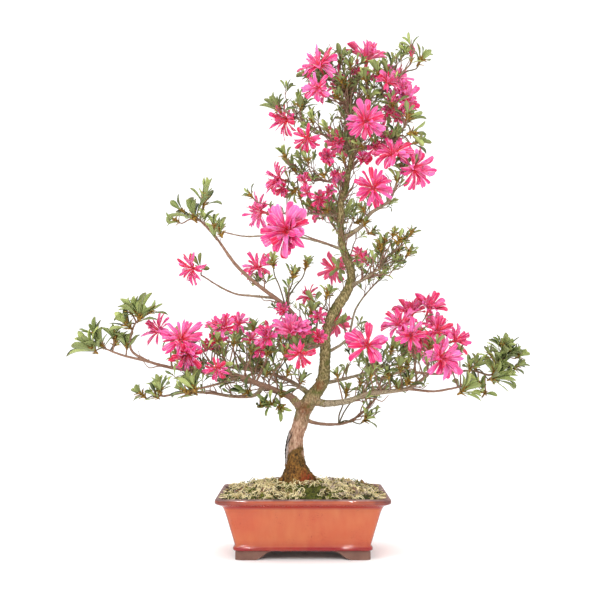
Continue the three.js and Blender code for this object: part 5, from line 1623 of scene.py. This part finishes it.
def make_tufts(dice):
    """Tufts of leaves on short stems all along the older wood."""
    leaves, stems = Gathering(), []
    for base, count, length, dull in TUFTS:
        end = place(*base)
        start = WOOD.nearest(end - UP * 12 * MM)
        way = (end - start).normalized()
        heading = (way * Vector((1, 0.5, 0.6)) + UP * 0.6).normalized()
        path = twig_path(start, (way + UP * 0.3).normalized(), end, heading, dice, 0.03)
        stems.append((path, np.linspace(1.3, 0.8, len(path)) * MM, 0))
        lay_rosette(leaves, shapes().leaf, end, heading, count, length * MM, dice, dull)
        lay_scales(leaves, end, heading, dice, *TUFT_SCALES)
    finish_piece(leaves.build("tuft_leaves", [leaf_material(), stem_material(), scale_material()]), "leaf")
    finish_piece(grow_tubes("tuft_stems", stems, [bark_material()]), "bark", "trunk")


def make_sprigs(dice):
    """The fine side twigs all over the branches, forked, with small leaves at some of their tips."""
    leaves, twigs = Gathering(), []
    for limb, low, high, count, reach, leaf, leafy in SPRIGS:
        path, radii = WOOD.lines[limb]
        for _ in range(count):
            k = min(len(path) - 2, int(len(path) * dice.uniform(low, high)))
            start = Vector(path[k])
            along = Vector(path[k + 1] - path[k]).normalized()
            out = around(along, dice.uniform(0, FULL_TURN))
            way = (out * 0.9 + along * 0.8 + UP * 0.5).normalized()
            if way.z < -0.1:
                way.z = 0.1
            long = reach * dice.uniform(0.45, 1.2) * MM
            end = start + way * long + UP * 0.12 * long
            arrive = (way * 0.5 + UP * 0.6 + out * 0.15).normalized()
            line = twig_path(start, way, end, arrive, dice, 0.08)
            thick = min(1.2 * MM, 0.5 * float(radii[k]) + 0.3 * MM)
            twigs.append((line, np.linspace(thick, 0.5 * MM, len(line)), 0))
            tips = [(end, arrive)]
            for _ in range(dice.choice((0, 1, 1, 2, 2))):
                fork = Vector(line[dice.randint(len(line) // 3, len(line) - 1)])
                away = (arrive + around(arrive, dice.uniform(0, FULL_TURN)) * 0.8).normalized()
                tip = fork + away * long * dice.uniform(0.3, 0.6)
                side = twig_path(fork, away, tip, (away + UP * 0.4).normalized(), dice)
                twigs.append((side, np.linspace(0.65, 0.42, len(side)) * MM, 0))
                tips.append((tip, (away + UP * 0.4).normalized()))
            for tip, heading in tips:
                if dice.random() > leafy:
                    continue
                lay_rosette(leaves, shapes().small_leaf, tip, heading, dice.randint(3, 6),
                            leaf * dice.uniform(0.8, 1.25) * MM, dice, dice.uniform(-0.1, 0.35))
                lay_scales(leaves, tip, heading, dice, *SPRIG_SCALES)
    finish_piece(leaves.build("sprig_leaves", [leaf_material(), stem_material(), scale_material()]), "leaf")
    finish_piece(grow_tubes("sprig_twigs", twigs, [bark_material()], sides=0), "bark", "trunk")


# ---- Stage ----

# area lights: place in metres, width and height in metres, watts
LIGHTS = {
    "key": ((-1.0, -1.3, 1.5), (0.4, 0.4), 10.5),
    "fill": ((1.3, -1.2, 1.0), (0.3, 0.3), 5),
    "top": ((0.1, 0.2, 1.9), (1.2, 1.2), 5),
    # two slim ones that the glaze mirrors
    "glint_left": ((-0.33, -1.5, 0.9), (0.03, 0.16), 3.0),
    "glint_right": ((0.26, -1.5, 0.9), (0.03, 0.16), 3.0),
}
# the middle of the tree, at which the lights aim
AIM = (0, 0, 0.35)
# the camera: place in millimetres, and how far it looks up in degrees
EYE_X, EYE_HEIGHT, EYE_PITCH = -4, 270, 3.68


def make_stage():
    """The floor, a bright sky and the lights, and the camera in front of the pot."""
    studio = settings("bonsai_studio")
    bpy.ops.mesh.primitive_plane_add(size=12, location=(0, 0, 0))
    floor = bpy.context.object
    floor.name = "studio_floor"
    material, tree, surface = start_material("matt_white_board", Roughness=0.9)
    surface.inputs["Base Color"].default_value = studio.floor
    floor.data.materials.append(material)
    world = bpy.data.worlds.new("studio")
    world.use_nodes = True
    sky = world.node_tree
    way = add(sky, "SeparateXYZ", add(sky, "TexCoord", out="Generated")).node.outputs
    sky.nodes["Background"].inputs["Color"].default_value = colour("#FFFFFF")
    # brighter behind the tree and overhead than from the front
    behind = add(sky, "MapRange", way["Y"], -0.6, 0.1, 0.56, 1.25)
    overhead = add(sky, "MapRange", way["Z"], 0.4, 0.85, 0.0, 1.7)
    brightness = add(sky, "Math", behind, overhead, operation="MAXIMUM")
    sky.links.new(brightness, sky.nodes["Background"].inputs["Strength"])
    bpy.context.scene.world = world
    for name, (spot, size, watts) in LIGHTS.items():
        light = bpy.data.lights.new(name, "AREA")
        light.shape = "RECTANGLE"
        light.size, light.size_y = size
        light.energy = watts
        lamp = bpy.data.objects.new(name, light)
        lamp.location = spot
        lamp.rotation_euler = (Vector(AIM) - lamp.location).to_track_quat("-Z", "Y").to_euler()
        bpy.context.collection.objects.link(lamp)
    camera = bpy.data.cameras.new("camera")
    camera.lens = studio.lens
    camera.sensor_width = 36
    eye = bpy.data.objects.new("camera", camera)
    eye.location = place(EYE_X, -studio.distance / MM, EYE_HEIGHT)
    eye.rotation_euler = (math.radians(90 + EYE_PITCH), 0, 0)
    bpy.context.collection.objects.link(eye)
    bpy.context.scene.camera = eye
    bpy.context.scene.view_settings.view_transform = "Standard"


# ---- Add-on ----

class BONSAI_OT_stage(bpy.types.Operator):
    """Set up the floor, the lights and the camera"""
    bl_idname = "bonsai.stage"
    bl_label = "Studio"

    def execute(self, context):
        make_stage()
        return {"FINISHED"}


class BONSAI_OT_pot(bpy.types.Operator):
    """Model the glazed pot with its bare feet, and finish the drain net"""
    bl_idname = "bonsai.pot"
    bl_label = "Glazed pot"

    def execute(self, context):
        make_pot()
        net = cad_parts["drain_mesh"]
        net.data.materials.clear()
        net.data.materials.append(mesh_material())
        return {"FINISHED"}


class BONSAI_OT_ground(bpy.types.Operator):
    """Fill the pot with soil, green moss, dried sphagnum and litter"""
    bl_idname = "bonsai.ground"
    bl_label = "Soil and moss"

    def execute(self, context):
        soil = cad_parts["soil"]
        soil.data.materials.clear()
        # fired-clay granules 2 to 4 mm across
        soil.data.materials.append(grain_material("granular_soil", "#2E2218", "#664C36",
                                                  0.003, 0.0015))
        dice = random.Random(11)
        make_moss(dice)
        make_sphagnum(dice)
        make_litter(dice)
        return {"FINISHED"}


class BONSAI_OT_wood(bpy.types.Operator):
    """Grow the trunk, its moss and the branches"""
    bl_idname = "bonsai.wood"
    bl_label = "Trunk and branches"

    def execute(self, context):
        dice = random.Random(23)
        trunk = make_trunk(dice)
        make_trunk_moss(trunk, dice)
        make_crack()
        make_branches()
        return {"FINISHED"}


class BONSAI_OT_flowers(bpy.types.Operator):
    """Lay the petals, stamens and stalks of every flower and bud"""
    bl_idname = "bonsai.flowers"
    bl_label = "Flowers and buds"

    def execute(self, context):
        greenery = Greenery()
        make_trusses(greenery, random.Random(37))
        make_blossoms(greenery, random.Random(41))
        greenery.build()
        return {"FINISHED"}


class BONSAI_OT_leaves(bpy.types.Operator):
    """Lay the leaf rosettes of the shoots and the small leafy side twigs"""
    bl_idname = "bonsai.leaves"
    bl_label = "Leaves"

    def execute(self, context):
        make_shoots(random.Random(53))
        make_tufts(random.Random(59))
        make_sprigs(random.Random(67))
        return {"FINISHED"}


class BONSAI_PT_panel(bpy.types.Panel):
    """Lists the steps that build the bonsai, with their settings"""
    bl_idname = "BONSAI_PT_panel"
    bl_label = "Azalea bonsai"
    bl_space_type = "VIEW_3D"
    bl_region_type = "UI"
    bl_category = "Bonsai"

    def draw(self, context):
        """Draws a button for each step, and a box for each group of settings."""
        for step in STEPS:
            self.layout.operator(step.bl_idname)
        for name, group in GROUPS.items():
            box = self.layout.box()
            for setting in group.__annotations__:
                box.prop(getattr(context.scene, name), setting)


STEPS = (BONSAI_OT_stage, BONSAI_OT_pot, BONSAI_OT_ground, BONSAI_OT_wood, BONSAI_OT_flowers,
         BONSAI_OT_leaves)
GROUPS = {"bonsai_pot": BonsaiPot, "bonsai_ground": BonsaiGround, "bonsai_tree": BonsaiTree,
          "bonsai_studio": BonsaiStudio}


def register():
    """Adds the settings, the steps and the panel."""
    for cls in (*GROUPS.values(), *STEPS, BONSAI_PT_panel):
        bpy.utils.register_class(cls)
    for name, group in GROUPS.items():
        setattr(bpy.types.Scene, name, bpy.props.PointerProperty(type=group))


def unregister():
    """Takes away what register adds."""
    for name in GROUPS:
        delattr(bpy.types.Scene, name)
    for cls in (BONSAI_PT_panel, *reversed(STEPS), *reversed(GROUPS.values())):
        bpy.utils.unregister_class(cls)


def main():
    """Builds everything in order."""
    register()
    bpy.ops.bonsai.stage()
    bpy.ops.bonsai.pot()
    bpy.ops.bonsai.ground()
    bpy.ops.bonsai.wood()
    bpy.ops.bonsai.flowers()
    bpy.ops.bonsai.leaves()


if __name__ == "__main__":
    main()
